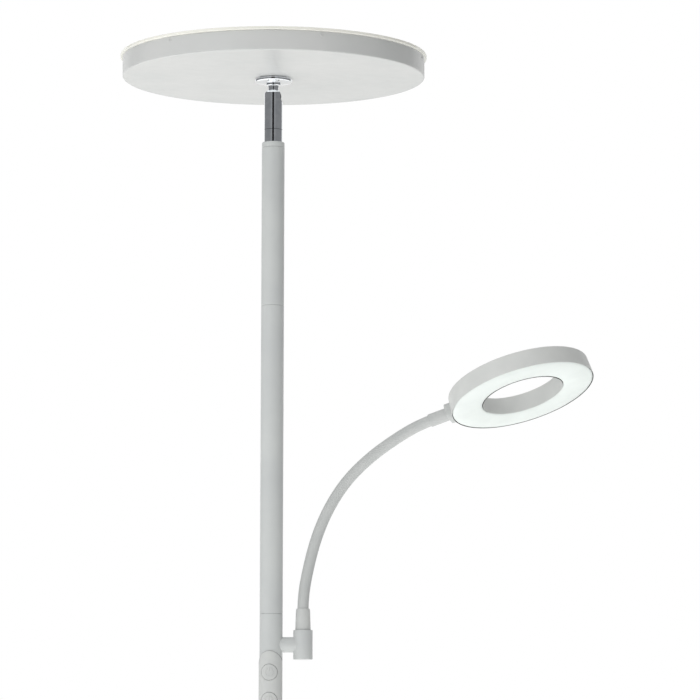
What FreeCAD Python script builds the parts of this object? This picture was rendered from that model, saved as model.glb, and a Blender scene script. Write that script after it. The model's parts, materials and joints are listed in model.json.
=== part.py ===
import FreeCAD, Part
import math
import os

# Torchiere floor lamp with a second, smaller reading light on a flexible arm.
# Millimetres. Z = 0 is the floor and the pole stands on the Z axis. The reading arm
# leaves the pole towards +X, and -Y is the front, where the buttons are.

# --- Fits ---------------------------------------------------------------------------
running_clearance = 0.08    # radial, a shaft that turns in its bore
moving_gap = 0.3            # between surfaces that pass each other
seat_gap = 0.05             # radial, a piece pushed or screwed into another
face_gap = 0.1              # axial, at a face that turns on another
overshoot = 1.0             # how far a cutting shape passes the piece that it cuts

# --- Base ---------------------------------------------------------------------------
base_radius = 135.0
cover_wall = 1.0
cover_edge_radius = 3.5
cover_lift = 1.0            # the cover's rim stays this much clear of the floor
pad_thickness = 2.0
pad_inset = 5.0
weight_thickness = 15.0
weight_inset = 5.0
weight_chamfer = 3.0
nut_recess_radius = 14.0
nut_recess_depth = 8.5
cord_channel_width = 9.0
cord_channel_depth = 7.0
grommet_radius = 4.8
grommet_wall = 1.2
grommet_collar = 1.2
foot_height = 14.0
foot_radius = 20.0
foot_top_radius = 13.5
foot_rim_height = 3.0
foot_top_band = 4.0         # straight part under the collar's top
foot_top_chamfer = 1.0
foot_sweep_rise = 6.2       # where the sweep's middle lies above the base
foot_sweep_reach = 1.82     # and how far it stands out past the top
foot_nipple_lift = 0.8      # above the pad
foot_nipple_margin = 2.0    # short of the plug's top

# --- Pole ---------------------------------------------------------------------------
tube_radius = 11.0
tube_wall = 1.2
lower_tube_count = 3
lower_tube_length = 315.0
switch_tube_length = 296.5
middle_tube_length = 296.5
upper_tube_length = 155.0
plug_length = 18.0
nipple_radius = 5.0
nipple_bore = 3.6
nipple_reach = 12.0         # into the plug on each side of a seam
collar_height = 5.2
collar_rounding = 1.6
nut_flats = 14.0
nut_thickness = 4.0
washer_radius = 11.0
washer_thickness = 1.5

# --- Swivel at the top of the pole ----------------------------------------------------
swivel_radius = 8.8
swivel_base_height = 12.6
ball_height = 44.1          # ball centre above the pole's collar
ball_radius = 7.6
socket_wall_top = 5.6       # from the ball centre up to the socket's mouth
mouth_radius = 5.9
mouth_shoulder = 2.9
spigot_radius = 5.6
spigot_head = 1.5
bushing_height = 8.0
seat_height = 8.0
spring_count = 4
spring_thickness = 0.8
spring_bore = 4.4
seat_bore = 3.6
mouth_land = 0.4            # flat ring round the socket's mouth
shoulder_swell = (0.78, 0.68)   # middle of the shoulder, as shares of its width and height
neck_radius = 5.4
neck_waist = 5.0
stud_bore = 3.0

# --- Uplight head ---------------------------------------------------------------------
underside_height = 62.2     # pan underside above the pole's collar
pan_radius = 146.3
pan_height = 19.0
pan_wall = 1.2
pan_edge_radius = 1.5
pan_inner_radius = 0.3
flange_radius = 17.9
flange_height = 3.4
flange_dish = 0.6           # its face rises by this much towards its edge
flange_face_margin = 1.2
flange_edge_level = 1.9
flange_edge_middle = (0.25, 1.1)
flange_top_middle = (0.4, 0.6)
flange_top_margin = 1.6
stud_end = 2.0              # past the nut
stud_collar_radius = 7.0
stud_collar_height = 2.0
lip_radius = 148.5
lip_height = 2.9
lip_gap = 0.3
lip_edge_radius = 0.9
diffuser_thickness = 2.0
skirt_depth = 5.5
skirt_wall = 1.6
skirt_gap = 0.3
led_plate_margin = 9.3      # from the plate's edge to the pan's outside
led_plate_height = 11.0     # above the pan's floor
led_plate_thickness = 1.5
led_plate_hole = 16.0
standoff_radius = 4.0
standoff_margin = 19.0      # from a post's axis to the plate's edge
standoff_count = 6
uplight_led_counts = (10, 18, 26)   # in each ring, from the inside
uplight_led_margin = 17.0   # from the outer ring to the plate's edge
uplight_led_pitch = 36.0    # from ring to ring
led_side = 3.5
led_height = 0.8
driver_length = 92.0
driver_width = 38.0
driver_height = 9.0
driver_offset = 62.0
driver_corner = 3.0
rim_screw_count = 6
rim_screw_angle = -41.0     # of the first one, from -Y towards +X
rim_screw_drop = 3.0        # below the pan's edge
rim_screw_head = 1.8
rim_screw_shank = 1.1
rim_screw_proud = 0.4

# --- Reading arm ----------------------------------------------------------------------
stub_drop = 29.5            # stub axis below the seam over the switch tube
stub_radius = 7.4
stub_tail_radius = 5.0
stub_tail_root = 3.0        # how far the tail reaches into the stub
stub_tail_end = 1.5         # past the nut
arm_offset = 30.4           # cup axis from the pole axis
cup_radius = 9.25
cup_height = 28.0
cup_bore = 5.0
cup_floor = 3.0
cup_edge_radius = 0.5
ferrule_radius = 7.4
ferrule_top_radius = 6.7
ferrule_height = 18.6
ferrule_shoulder = 5.0
ferrule_tail = 12.0
ferrule_clearance = 0.15    # radial, round the sleeve
ferrule_lip = 0.35
neck_seat_depth = 9.0
sleeve_radius = 5.35
sleeve_bore = 2.4
arm_turn = -13.3            # the arm's own plane, turned from +X towards -Y, degrees
link_length = 29.4          # along the curve
link_turns = (11.0, 4.5, 8.5, 10.0, 12.0, 8.5, 5.5, 11.0)
top_ferrule_radius = 6.3
top_ferrule_lead = 3.0      # how far it reaches back over the last link
top_ferrule_chamfer = 1.0
top_ferrule_clearance = 0.1

# --- Ring-shaped reading head ---------------------------------------------------------
ring_reach = 90.0           # from the last link's end to the ring's centre
ring_roll = 11.5            # about the arm's end, towards the front, degrees
ring_radius = 70.0
ring_hole_radius = 39.0
ring_thickness = 18.0
ring_draft = 1.2
ring_edge_radius = 1.6
ring_wall = 2.0
ring_lip = 0.8
ring_lip_depth = 2.5
ring_crown = 1.4
ring_diffuser_thickness = 1.8
ring_diffuser_rim = 2.2
ring_face_rebate = 0.2
ring_board_height = 10.5    # above the face plane
ring_board_thickness = 1.6
ring_ledge = 1.4
ring_led_count = 24
boss_width = 24.0
boss_height = 15.0
boss_thickness = 4.2
boss_corner = 5.0
boss_edge_radius = 1.0
boss_wrap = 6.0             # how far its blank reaches past the ring's outermost line

# --- Switch on the pole's front ---------------------------------------------------------
cover_turn = 8.0            # from -Y towards -X, degrees
cover_thickness = 0.7
cover_overhang = 20.6       # from a button's centre to the cover's end
upper_button_drop = 56.0    # below the seam over the switch tube
button_spacing = 26.8
button_radius = 7.6
button_rise = 0.4
button_back = 6.9           # from the pole axis to the back of the cap
button_stem_radius = 2.0
button_travel = 0.5
stem_gap = 0.2              # left over at full travel
board_thickness = 1.2
board_margin = 16.0         # past each button's centre
tact_side = 6.0
tact_height = 2.0
plunger_radius = 1.7
plunger_height = 1.0

# --- Levels and radii that follow ---------------------------------------------------------
z_axis = FreeCAD.Vector(0, 0, 1)
base_height = pad_thickness + weight_thickness + cover_wall
tube_bore = tube_radius - tube_wall
plug_radius = tube_bore - seat_gap
plug_bore = nipple_radius + seat_gap
tube_lengths = [lower_tube_length] * lower_tube_count
tube_lengths += [switch_tube_length, middle_tube_length, upper_tube_length]
tube_names = ["lower_tube_%d" % (i + 1) for i in range(lower_tube_count)]
tube_names += ["switch_tube", "middle_tube", "upper_tube"]
tube_starts = [base_height + sum(tube_lengths[:i]) for i in range(len(tube_lengths))]
seam_heights = tube_starts[1:]
switch_seam = tube_starts[tube_names.index("middle_tube")]
collar_bottom = tube_starts[-1] + upper_tube_length
collar_top = collar_bottom + collar_height
swivel_seam = collar_top + swivel_base_height
ball_level = collar_top + ball_height
socket_radius = ball_radius + running_clearance
underside = collar_top + underside_height
stub_level = switch_seam - stub_drop
cup_bottom = stub_level - cup_height / 2
cup_top = cup_bottom + cup_height
neck_start = FreeCAD.Vector(arm_offset, 0, cup_top + ferrule_height)
upper_button_level = switch_seam - upper_button_drop
button_levels = (upper_button_level, upper_button_level - button_spacing)
cover_radius = tube_radius + seat_gap + cover_thickness
cover_top = button_levels[0] + cover_overhang
cover_bottom = button_levels[1] - cover_overhang


def point(r, z):
    return FreeCAD.Vector(r, 0, z)


def turned(outline):
    """Turn an outline about Z. A move is a point (r, z), or an arc (middle, end)."""
    here = outline[0]
    edges = []
    for move in list(outline[1:]) + [outline[0]]:
        if isinstance(move[0], tuple):
            middle, end = move
            edges.append(Part.Arc(point(*here), point(*middle), point(*end)).toShape())
            here = end
        elif move != here:
            edges.append(Part.makeLine(point(*here), point(*move)))
            here = move
    face = Part.Face(Part.Wire(edges))
    return face.revolve(FreeCAD.Vector(0, 0, 0), z_axis, 360)


def corner(cr, cz, radius, from_angle, to_angle):
    """The middle and end of an arc about (cr, cz), angles in degrees from +r."""
    def at(angle):
        a = math.radians(angle)
        return (cr + radius * math.cos(a), cz + radius * math.sin(a))
    return (at((from_angle + to_angle) / 2), at(to_angle))


def pipe(outer, inner, z, height):
    return turned([(inner, z), (outer, z), (outer, z + height), (inner, z + height)])


def rod(radius, start, direction, length):
    return Part.makeCylinder(radius, length, start, direction)


def box(size, centre):
    corner_point = centre - FreeCAD.Vector(*size) * 0.5
    return Part.makeBox(size[0], size[1], size[2], corner_point)


def hex_nut(flats, thickness, bore, z):
    corners = []
    for i in range(7):
        a = math.radians(60 * i)
        r = flats / math.sqrt(3)
        corners.append(FreeCAD.Vector(r * math.cos(a), r * math.sin(a), z))
    prism = Part.Face(Part.makePolygon(corners)).extrude(FreeCAD.Vector(0, 0, thickness))
    hole = rod(bore, FreeCAD.Vector(0, 0, z - overshoot), z_axis, thickness + 2 * overshoot)
    return prism.cut(hole)


def around(shape, count, first=0.0):
    """Equally spaced copies about Z."""
    copies = []
    for i in range(count):
        copy = shape.copy()
        copy.rotate(FreeCAD.Vector(0, 0, 0), z_axis, first + 360.0 * i / count)
        copies.append(copy)
    return copies


def front_facing(shape):
    """Turn a piece made facing -Y to the cover's own direction."""
    shape.rotate(FreeCAD.Vector(0, 0, 0), z_axis, -cover_turn)
    return shape


# --- Base -----------------------------------------------------------------------------
def base_pad():
    return rod(base_radius - pad_inset, FreeCAD.Vector(0, 0, 0), z_axis, pad_thickness)


def base_weight():
    radius = base_radius - weight_inset
    top = pad_thickness + weight_thickness
    bore = nipple_radius + seat_gap
    recess_top = pad_thickness + nut_recess_depth
    body = turned([
        (nut_recess_radius, pad_thickness), (radius, pad_thickness),
        (radius, top - weight_chamfer), (radius - weight_chamfer, top),
        (bore, top), (bore, recess_top), (nut_recess_radius, recess_top)])
    channel = Part.makeBox(
        cord_channel_width, base_radius, cord_channel_depth,
        FreeCAD.Vector(-cord_channel_width / 2, nut_recess_radius / 2, pad_thickness))
    return body.cut(channel)


def base_cover():
    r = base_radius
    top = base_height
    e = cover_edge_radius
    t = cover_wall
    shell = turned([
        (nipple_radius + seat_gap, top), (r - e, top),
        corner(r - e, top - e, e, 90, 0), (r, cover_lift), (r - t, cover_lift),
        (r - t, top - e), corner(r - e, top - e, e - t, 0, 90),
        (nipple_radius + seat_gap, top - t)])
    return shell.cut(grommet_hole(grommet_radius))


def grommet_level():
    return pad_thickness + grommet_radius + grommet_collar + moving_gap


def grommet_hole(radius):
    start = FreeCAD.Vector(0, base_radius - cord_channel_width, grommet_level())
    return rod(radius, start, FreeCAD.Vector(0, 1, 0), 2 * cord_channel_width)


def cord_grommet():
    """A collar outside the cover, a sleeve through its hole and a lip behind it."""
    level = grommet_level()
    backward = FreeCAD.Vector(0, 1, 0)
    rim = grommet_radius + grommet_collar
    start = base_radius - cover_wall - 1.5 * grommet_wall
    length = base_radius + grommet_wall - start
    outside = rod(base_radius + seat_gap, FreeCAD.Vector(0, 0, 0), z_axis, base_height)
    inside = rod(base_radius - cover_wall - seat_gap, FreeCAD.Vector(0, 0, 0), z_axis,
                 base_height)
    blank = rod(rim, FreeCAD.Vector(0, start, level), backward, length)
    sleeve = rod(grommet_radius - seat_gap, FreeCAD.Vector(0, start, level), backward, length)
    bore = rod(grommet_radius - grommet_wall, FreeCAD.Vector(0, start - overshoot, level),
               backward, length + 2 * overshoot)
    return sleeve.fuse(blank.cut(outside)).fuse(blank.common(inside)).cut(bore)


def foot_collar():
    """A turned collar that sweeps in from the base to the tube."""
    z = base_height
    inner = tube_radius + seat_gap
    top = z + foot_height
    sweep_middle = (foot_top_radius + foot_sweep_reach, z + foot_sweep_rise)
    sweep_end = (foot_top_radius, top - foot_top_band)
    return turned([
        (inner, z), (foot_radius, z), (foot_radius, z + foot_rim_height),
        (sweep_middle, sweep_end), (foot_top_radius, top - foot_top_chamfer),
        (foot_top_radius - foot_top_chamfer, top), (inner, top)])


def foot_nipple():
    bottom = pad_thickness + foot_nipple_lift
    top = base_height + plug_length - foot_nipple_margin
    return pipe(nipple_radius, nipple_bore, bottom, top - bottom)


def foot_washer():
    z = pad_thickness + nut_recess_depth - washer_thickness
    return pipe(washer_radius, nipple_radius + seat_gap, z, washer_thickness)


def foot_nut():
    z = pad_thickness + nut_recess_depth - washer_thickness - nut_thickness
    return hex_nut(nut_flats, nut_thickness, nipple_radius + seat_gap, z)


# --- Pole -----------------------------------------------------------------------------
def pole_tube(name):
    i = tube_names.index(name)
    tube = pipe(tube_radius, tube_bore, tube_starts[i], tube_lengths[i])
    if name == "switch_tube":
        for level in button_levels:
            hole = rod(button_radius + moving_gap, FreeCAD.Vector(0, 0, level),
                       FreeCAD.Vector(0, -1, 0), 2 * tube_radius)
            tube = tube.cut(front_facing(hole))
        arm_hole = rod(stub_tail_radius + seat_gap, FreeCAD.Vector(0, 0, stub_level),
                       FreeCAD.Vector(1, 0, 0), 2 * tube_radius)
        tube = tube.cut(arm_hole)
    return tube


def tube_plugs():
    plugs = [pipe(plug_radius, plug_bore, base_height, plug_length)]
    for seam in seam_heights:
        plugs.append(pipe(plug_radius, plug_bore, seam - plug_length, plug_length))
        plugs.append(pipe(plug_radius, plug_bore, seam, plug_length))
    return Part.makeCompound(plugs)


def joint_nipples():
    nipples = []
    for seam in seam_heights:
        nipples.append(pipe(nipple_radius, nipple_bore, seam - nipple_reach, 2 * nipple_reach))
    return Part.makeCompound(nipples)


def pole_collar():
    r = tube_radius
    c = collar_rounding
    return turned([
        (plug_bore, collar_bottom - plug_length), (plug_radius, collar_bottom - plug_length),
        (plug_radius, collar_bottom), (r, collar_bottom), (r, collar_top - c),
        corner(r - c, collar_top - c, c, 0, 90), (plug_bore, collar_top)])


# --- Swivel ---------------------------------------------------------------------------
bushing_bottom = swivel_seam + face_gap
bushing_top = bushing_bottom + bushing_height
head_bottom = bushing_top + face_gap
cap_bore = socket_radius
seat_top = ball_level - neck_radius - moving_gap - seat_gap
seat_bottom = seat_top - seat_height


def swivel_base():
    head_radius = cap_bore - moving_gap
    tail = collar_top - nipple_reach
    return turned([
        (nipple_bore, tail), (nipple_radius, tail), (nipple_radius, collar_top),
        (swivel_radius, collar_top), (swivel_radius, swivel_seam),
        (spigot_radius, swivel_seam), (spigot_radius, head_bottom),
        (head_radius, head_bottom), (head_radius, head_bottom + spigot_head),
        (nipple_bore, head_bottom + spigot_head)])


def swivel_bushing():
    return pipe(cap_bore - seat_gap, spigot_radius + running_clearance, bushing_bottom,
                bushing_height)


def swivel_cap():
    mouth_low = ball_level + math.sqrt(socket_radius ** 2 - mouth_radius ** 2)
    mouth_top = ball_level + socket_wall_top
    half_angle = math.radians(30)
    middle = (socket_radius * math.cos(half_angle), ball_level + socket_radius * math.sin(half_angle))
    bottom = swivel_seam + face_gap
    shoulder = mouth_shoulder
    rim_flat = mouth_radius + mouth_land
    swell_out, swell_up = shoulder_swell
    swell = (rim_flat + (swivel_radius - rim_flat) * swell_out,
             mouth_top - shoulder * (1 - swell_up))
    body = turned([
        (cap_bore, bottom), (swivel_radius, bottom), (swivel_radius, mouth_top - shoulder),
        (swell, (rim_flat, mouth_top)),
        (mouth_radius, mouth_top), (mouth_radius, mouth_low),
        (middle, (cap_bore, ball_level))])
    slot_half = neck_radius + moving_gap
    outward = FreeCAD.Vector(1, 0, 0)
    slot_end = rod(slot_half, FreeCAD.Vector(0, 0, ball_level), outward, 2 * swivel_radius)
    slot_run = Part.makeBox(2 * swivel_radius, 2 * slot_half, 2 * socket_wall_top,
                            FreeCAD.Vector(0, -slot_half, ball_level))
    return body.cut(slot_end).cut(slot_run)


def ball_seat():
    outer = cap_bore - seat_gap
    inner = seat_bore
    ball_edge = math.sqrt(socket_radius ** 2 - (seat_top - ball_level) ** 2)
    low = ball_level - math.sqrt(socket_radius ** 2 - inner ** 2)
    mid_r = (inner + ball_edge) / 2
    mid_z = ball_level - math.sqrt(socket_radius ** 2 - mid_r ** 2)
    return turned([
        (inner, seat_bottom), (outer, seat_bottom), (outer, seat_top), (ball_edge, seat_top),
        ((mid_r, mid_z), (inner, low))])


def disc_springs():
    """Coned washers, laid alternately, that press the seat against the ball."""
    low = head_bottom + spigot_head + face_gap
    step = (seat_bottom - low) / spring_count
    cone = step - spring_thickness
    outer = cap_bore - moving_gap
    springs = []
    for i in range(spring_count):
        z = low + i * step
        rise_out = cone if i % 2 else 0
        rise_in = cone - rise_out
        springs.append(turned([
            (spring_bore, z + rise_in), (outer, z + rise_out),
            (outer, z + rise_out + spring_thickness),
            (spring_bore, z + rise_in + spring_thickness)]))
    return Part.makeCompound(springs)


# --- Uplight head ---------------------------------------------------------------------
pan_floor = underside + pan_wall
pan_rim = underside + pan_height
plate_bottom = pan_floor + led_plate_height
plate_top = plate_bottom + led_plate_thickness
lip_bottom = pan_rim + lip_gap
lip_top = lip_bottom + lip_height
skirt_radius = pan_radius - pan_wall - skirt_gap
led_plate_radius = pan_radius - led_plate_margin
standoff_circle = led_plate_radius - standoff_margin
neck_foot = underside - flange_height - stud_collar_height


def ball_stud():
    ball_low = ball_level - math.sqrt(ball_radius ** 2 - stud_bore ** 2)
    ball_high = ball_level + math.sqrt(ball_radius ** 2 - neck_radius ** 2)
    waist_level = (ball_high + neck_foot) / 2
    top = pan_floor + washer_thickness + nut_thickness + stud_end
    return turned([
        (stud_bore, ball_low), ((ball_radius, ball_level), (neck_radius, ball_high)),
        ((neck_waist, waist_level), (neck_radius, neck_foot)),
        (stud_collar_radius, neck_foot), (stud_collar_radius, neck_foot + stud_collar_height),
        (nipple_radius, neck_foot + stud_collar_height), (nipple_radius, top),
        (stud_bore, top)])


def head_flange():
    low = underside - flange_height
    r = flange_radius
    bore = nipple_radius + seat_gap
    edge_in, edge_up = flange_edge_middle
    top_in, top_down = flange_top_middle
    return turned([
        (bore, low), (stud_collar_radius + overshoot, low),
        (r - flange_face_margin, low + flange_dish),
        ((r - edge_in, low + edge_up), (r, low + flange_edge_level)),
        ((r - top_in, underside - top_down), (r - flange_top_margin, underside)),
        (bore, underside)])


def head_washer():
    return pipe(washer_radius, nipple_radius + seat_gap, pan_floor, washer_thickness)


def head_nut():
    return hex_nut(nut_flats, nut_thickness, nipple_radius + seat_gap,
                   pan_floor + washer_thickness)


def rim_screw_axis_level():
    return pan_rim - rim_screw_drop


def rim_screw_holes(radius):
    """Six radial drillings through the pan's wall and the diffuser's skirt."""
    start = FreeCAD.Vector(0, -(skirt_radius - 3 * skirt_wall), rim_screw_axis_level())
    drill = rod(radius, start, FreeCAD.Vector(0, -1, 0), 5 * skirt_wall)
    return around(drill, rim_screw_count, rim_screw_angle)


def head_pan():
    r = pan_radius
    e = pan_edge_radius
    t = pan_wall
    inner_edge = pan_inner_radius
    shell = turned([
        (nipple_radius + seat_gap, underside), (r - e, underside),
        corner(r - e, underside + e, e, -90, 0), (r, pan_rim), (r - t, pan_rim),
        (r - t, underside + t + inner_edge),
        corner(r - t - inner_edge, underside + t + inner_edge, inner_edge, 0, -90),
        (nipple_radius + seat_gap, underside + t)])
    for hole in rim_screw_holes(rim_screw_shank + seat_gap):
        shell = shell.cut(hole)
    return shell


def uplight_diffuser():
    r = lip_radius
    e = lip_edge_radius
    skirt_low = lip_bottom - skirt_depth
    ceiling = lip_top - diffuser_thickness
    disc = turned([
        (0, ceiling), (skirt_radius - skirt_wall, ceiling),
        (skirt_radius - skirt_wall, skirt_low), (skirt_radius, skirt_low),
        (skirt_radius, lip_bottom), (r - e / 2, lip_bottom), (r, lip_bottom + e / 2),
        (r, lip_top - e), corner(r - e, lip_top - e, e, 0, 90), (0, lip_top)])
    for hole in rim_screw_holes(rim_screw_shank + seat_gap):
        disc = disc.cut(hole)
    return disc


def rim_screws():
    level = rim_screw_axis_level()
    inward = FreeCAD.Vector(0, 1, 0)
    face = -(pan_radius + rim_screw_proud)
    seat = math.sqrt(pan_radius ** 2 - rim_screw_head ** 2)
    head = rod(rim_screw_head, FreeCAD.Vector(0, face, level), inward, -face - seat)
    wall = rod(pan_radius, FreeCAD.Vector(0, 0, level - 2 * rim_screw_head), z_axis,
               4 * rim_screw_head)
    shank = rod(rim_screw_shank, FreeCAD.Vector(0, face, level), inward,
                -face - skirt_radius + skirt_wall)
    screw = head.cut(wall).fuse(shank)
    return Part.makeCompound(around(screw, rim_screw_count, rim_screw_angle))


def plate_standoffs():
    post = rod(standoff_radius, FreeCAD.Vector(0, -standoff_circle, pan_floor), z_axis,
               led_plate_height)
    return Part.makeCompound(around(post, standoff_count))


def led_plate():
    return pipe(led_plate_radius, led_plate_hole, plate_bottom, led_plate_thickness)


def uplight_leds():
    chips = []
    size = (led_side, led_side, led_height)
    outer_ring = led_plate_radius - uplight_led_margin
    for ring, count in enumerate(uplight_led_counts):
        rings_outside = len(uplight_led_counts) - 1 - ring
        radius = outer_ring - rings_outside * uplight_led_pitch
        chip = box(size, FreeCAD.Vector(0, -radius, plate_top + led_height / 2))
        chips += around(chip, count)
    return Part.makeCompound(chips)


def led_driver():
    size = (driver_length, driver_width, driver_height)
    body = box(size, FreeCAD.Vector(0, driver_offset, pan_floor + driver_height / 2))
    upright = [e for e in body.Edges if abs(e.tangentAt(e.FirstParameter).z) > 0.9]
    return body.makeFillet(driver_corner, upright)


# --- Reading arm ----------------------------------------------------------------------
def arm_stub():
    outward = FreeCAD.Vector(1, 0, 0)
    barrel = rod(stub_radius, FreeCAD.Vector(0, 0, stub_level), outward, arm_offset)
    pole = rod(tube_radius + seat_gap, FreeCAD.Vector(0, 0, cup_bottom), z_axis, cup_height)
    cup = rod(cup_radius, FreeCAD.Vector(arm_offset, 0, cup_bottom), z_axis, cup_height)
    tail_start = tube_bore - 2 * nut_thickness - stub_tail_end
    tail = rod(stub_tail_radius, FreeCAD.Vector(tail_start, 0, stub_level), outward,
               tube_radius + stub_tail_root - tail_start)
    return barrel.cut(pole).cut(cup).fuse(tail)


def arm_nut():
    """The nut inside the pole; its corners bear on the tube's inner wall."""
    nut = hex_nut(nut_flats, nut_thickness, stub_tail_radius + seat_gap, 0)
    nut.rotate(FreeCAD.Vector(0, 0, 0), FreeCAD.Vector(0, 1, 0), 90)
    reach = math.sqrt(tube_bore ** 2 - (nut_flats / math.sqrt(3)) ** 2)
    nut.translate(FreeCAD.Vector(reach - nut_thickness - seat_gap, 0, stub_level))
    return nut


def arm_cup():
    centre = FreeCAD.Vector(arm_offset, 0, cup_bottom)
    cup = rod(cup_radius, centre, z_axis, cup_height)
    rims = [e for e in cup.Edges if e.Closed]
    cup = cup.makeFillet(cup_edge_radius, rims)
    well = rod(cup_bore, centre + z_axis * cup_floor, z_axis, cup_height)
    return cup.cut(well)


def lower_ferrule():
    z = cup_top
    top = z + ferrule_height
    end = top + ferrule_shoulder
    bore = sleeve_radius + ferrule_clearance
    body = turned([
        (sleeve_bore, z - ferrule_tail), (cup_bore - seat_gap, z - ferrule_tail),
        (cup_bore - seat_gap, z), (ferrule_radius, z), (ferrule_top_radius, top),
        (bore + ferrule_lip, end), (bore, end), (bore, top - neck_seat_depth),
        (sleeve_bore, top - neck_seat_depth)])
    body.translate(FreeCAD.Vector(arm_offset, 0, 0))
    return body


arm_out = FreeCAD.Vector(math.cos(math.radians(arm_turn)), math.sin(math.radians(arm_turn)), 0)
bend_axis = z_axis.cross(arm_out)


def direction(angle):
    """Along the arm where it leans by angle, degrees from upright."""
    a = math.radians(angle)
    return arm_out * math.sin(a) + z_axis * math.cos(a)


def outward_normal(angle):
    """Square to the arm, in its plane, on the outside of the bend."""
    a = math.radians(angle)
    return z_axis * math.sin(a) - arm_out * math.cos(a)


link_ends = [neck_start]
link_leans = [0.0]
for turn in link_turns:
    bend_radius = link_length / math.radians(turn)
    centre = link_ends[-1] - outward_normal(link_leans[-1]) * bend_radius
    link_leans.append(link_leans[-1] + turn)
    link_ends.append(centre + outward_normal(link_leans[-1]) * bend_radius)


def link_sweep(i, radius):
    start = link_ends[i]
    turn = link_turns[i]
    bend_radius = link_length / math.radians(turn)
    centre = start - outward_normal(link_leans[i]) * bend_radius
    circle = Part.makeCircle(radius, start, direction(link_leans[i]))
    return Part.Face(Part.Wire([circle])).revolve(centre, bend_axis, turn)


def neck_link(i):
    """One length of the flexible arm: a cup at its start, a ball at its far end."""
    body = link_sweep(i, sleeve_radius)
    bore = link_sweep(i, sleeve_bore)
    first = i == 0
    last = i == len(link_turns) - 1
    along = direction(link_leans[i])
    far = direction(link_leans[i + 1])
    if first:
        seat = neck_seat_depth - seat_gap
        body = body.fuse(rod(sleeve_radius, link_ends[0] - along * seat, along, seat))
        bore = bore.fuse(rod(sleeve_bore, link_ends[0] - along * 2 * seat, along, 2 * seat))
    else:
        hollow = Part.makeSphere(sleeve_radius + moving_gap, link_ends[i])
        body = body.cut(hollow)
        bore = bore.fuse(rod(sleeve_bore, link_ends[i] - along * 2, along, 2))
    if last:
        body = body.fuse(rod(sleeve_radius, link_ends[-1], far, neck_seat_depth))
        bore = bore.fuse(rod(sleeve_bore, link_ends[-1], far, 2 * neck_seat_depth))
    else:
        ball = Part.makeSphere(sleeve_radius, link_ends[i + 1], far, 0, 90, 360)
        body = body.fuse(ball)
        bore = bore.fuse(rod(sleeve_bore, link_ends[i + 1], far, 2 * sleeve_radius))
    return body.cut(bore)


# --- Ring-shaped reading head ---------------------------------------------------------
arm_end = link_ends[-1]
arm_lean = link_leans[-1]


def place_ring(shape):
    """Move a piece from the ring's own frame to the arm's end. In that frame the arm
    points along +X, the lit face is the plane z = 0 and looks down, and the ring's
    axis is Z."""
    along = direction(arm_lean)
    roll = math.radians(ring_roll)
    back = outward_normal(arm_lean) * math.cos(roll) + bend_axis * math.sin(roll)
    across = back.cross(along)
    origin = arm_end + along * ring_reach - back * (ring_thickness / 2)
    matrix = FreeCAD.Matrix(
        along.x, across.x, back.x, origin.x,
        along.y, across.y, back.y, origin.y,
        along.z, across.z, back.z, origin.z,
        0, 0, 0, 1)
    shape.Placement = FreeCAD.Placement(matrix).multiply(shape.Placement)
    return shape


def arm_piece(shape):
    """Place a piece turned about Z so that Z runs along the arm's end."""
    turn = FreeCAD.Rotation(z_axis, direction(arm_lean))
    shape.Placement = FreeCAD.Placement(arm_end, turn).multiply(shape.Placement)
    return shape


def upper_ferrule():
    r = top_ferrule_radius
    end = ring_reach - ring_radius - boss_thickness
    bore = sleeve_radius + top_ferrule_clearance
    c = top_ferrule_chamfer
    return arm_piece(turned([
        (sleeve_bore, neck_seat_depth + face_gap), (sleeve_bore, end), (r, end),
        (r, c - top_ferrule_lead), (r - c * 0.6, -top_ferrule_lead), (bore, -top_ferrule_lead),
        (bore, neck_seat_depth + face_gap)]))


def ring_boss():
    """A saddle between the ferrule and the ring's outer wall."""
    level = ring_thickness / 2
    size = (boss_thickness + boss_wrap, boss_width, boss_height)
    face = -ring_radius - boss_thickness
    pad = box(size, FreeCAD.Vector(face + size[0] / 2, 0, level))
    sides = [e for e in pad.Edges if abs(e.tangentAt(e.FirstParameter).x) > 0.9]
    pad = pad.makeFillet(boss_corner, sides)
    rim = [e for e in pad.Edges if e.BoundBox.XMax < face + 0.01]
    pad = pad.makeFillet(boss_edge_radius, rim)
    pad = pad.cut(ring_outer_body(seat_gap))
    wire_hole = rod(sleeve_bore, FreeCAD.Vector(face - overshoot, 0, level),
                    FreeCAD.Vector(1, 0, 0), size[0] + 2 * overshoot)
    return place_ring(pad.cut(wire_hole))


def ring_outer_body(extra):
    r = ring_radius + extra
    back = r - ring_draft
    return turned([(0, 0), (r, 0), (back, ring_thickness), (0, ring_thickness)])


def ring_housing():
    h = ring_thickness
    w = ring_wall
    e = ring_edge_radius
    outer_back = ring_radius - ring_draft
    inner_back = ring_hole_radius + ring_draft
    lip_out = ring_radius - ring_lip
    lip_in = ring_hole_radius + ring_lip
    ledge = ring_board_height + ring_board_thickness
    outer_board = ring_radius - w
    inner_board = ring_hole_radius + w
    return place_ring(turned([
        (lip_out, 0), (ring_radius, 0), (outer_back, h - e), corner(outer_back - e, h - e, e, 0, 90),
        (inner_back + e, h), corner(inner_back + e, h - e, e, 90, 180), (ring_hole_radius, 0),
        (lip_in, 0), (lip_in, ring_lip_depth), (inner_board, ring_lip_depth),
        (inner_board, ledge), (inner_board + ring_ledge, ledge), (inner_board + ring_ledge, h - w),
        (outer_board - ring_ledge, h - w), (outer_board - ring_ledge, ledge),
        (outer_board, ledge), (outer_board, ring_lip_depth), (lip_out, ring_lip_depth)]))


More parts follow.
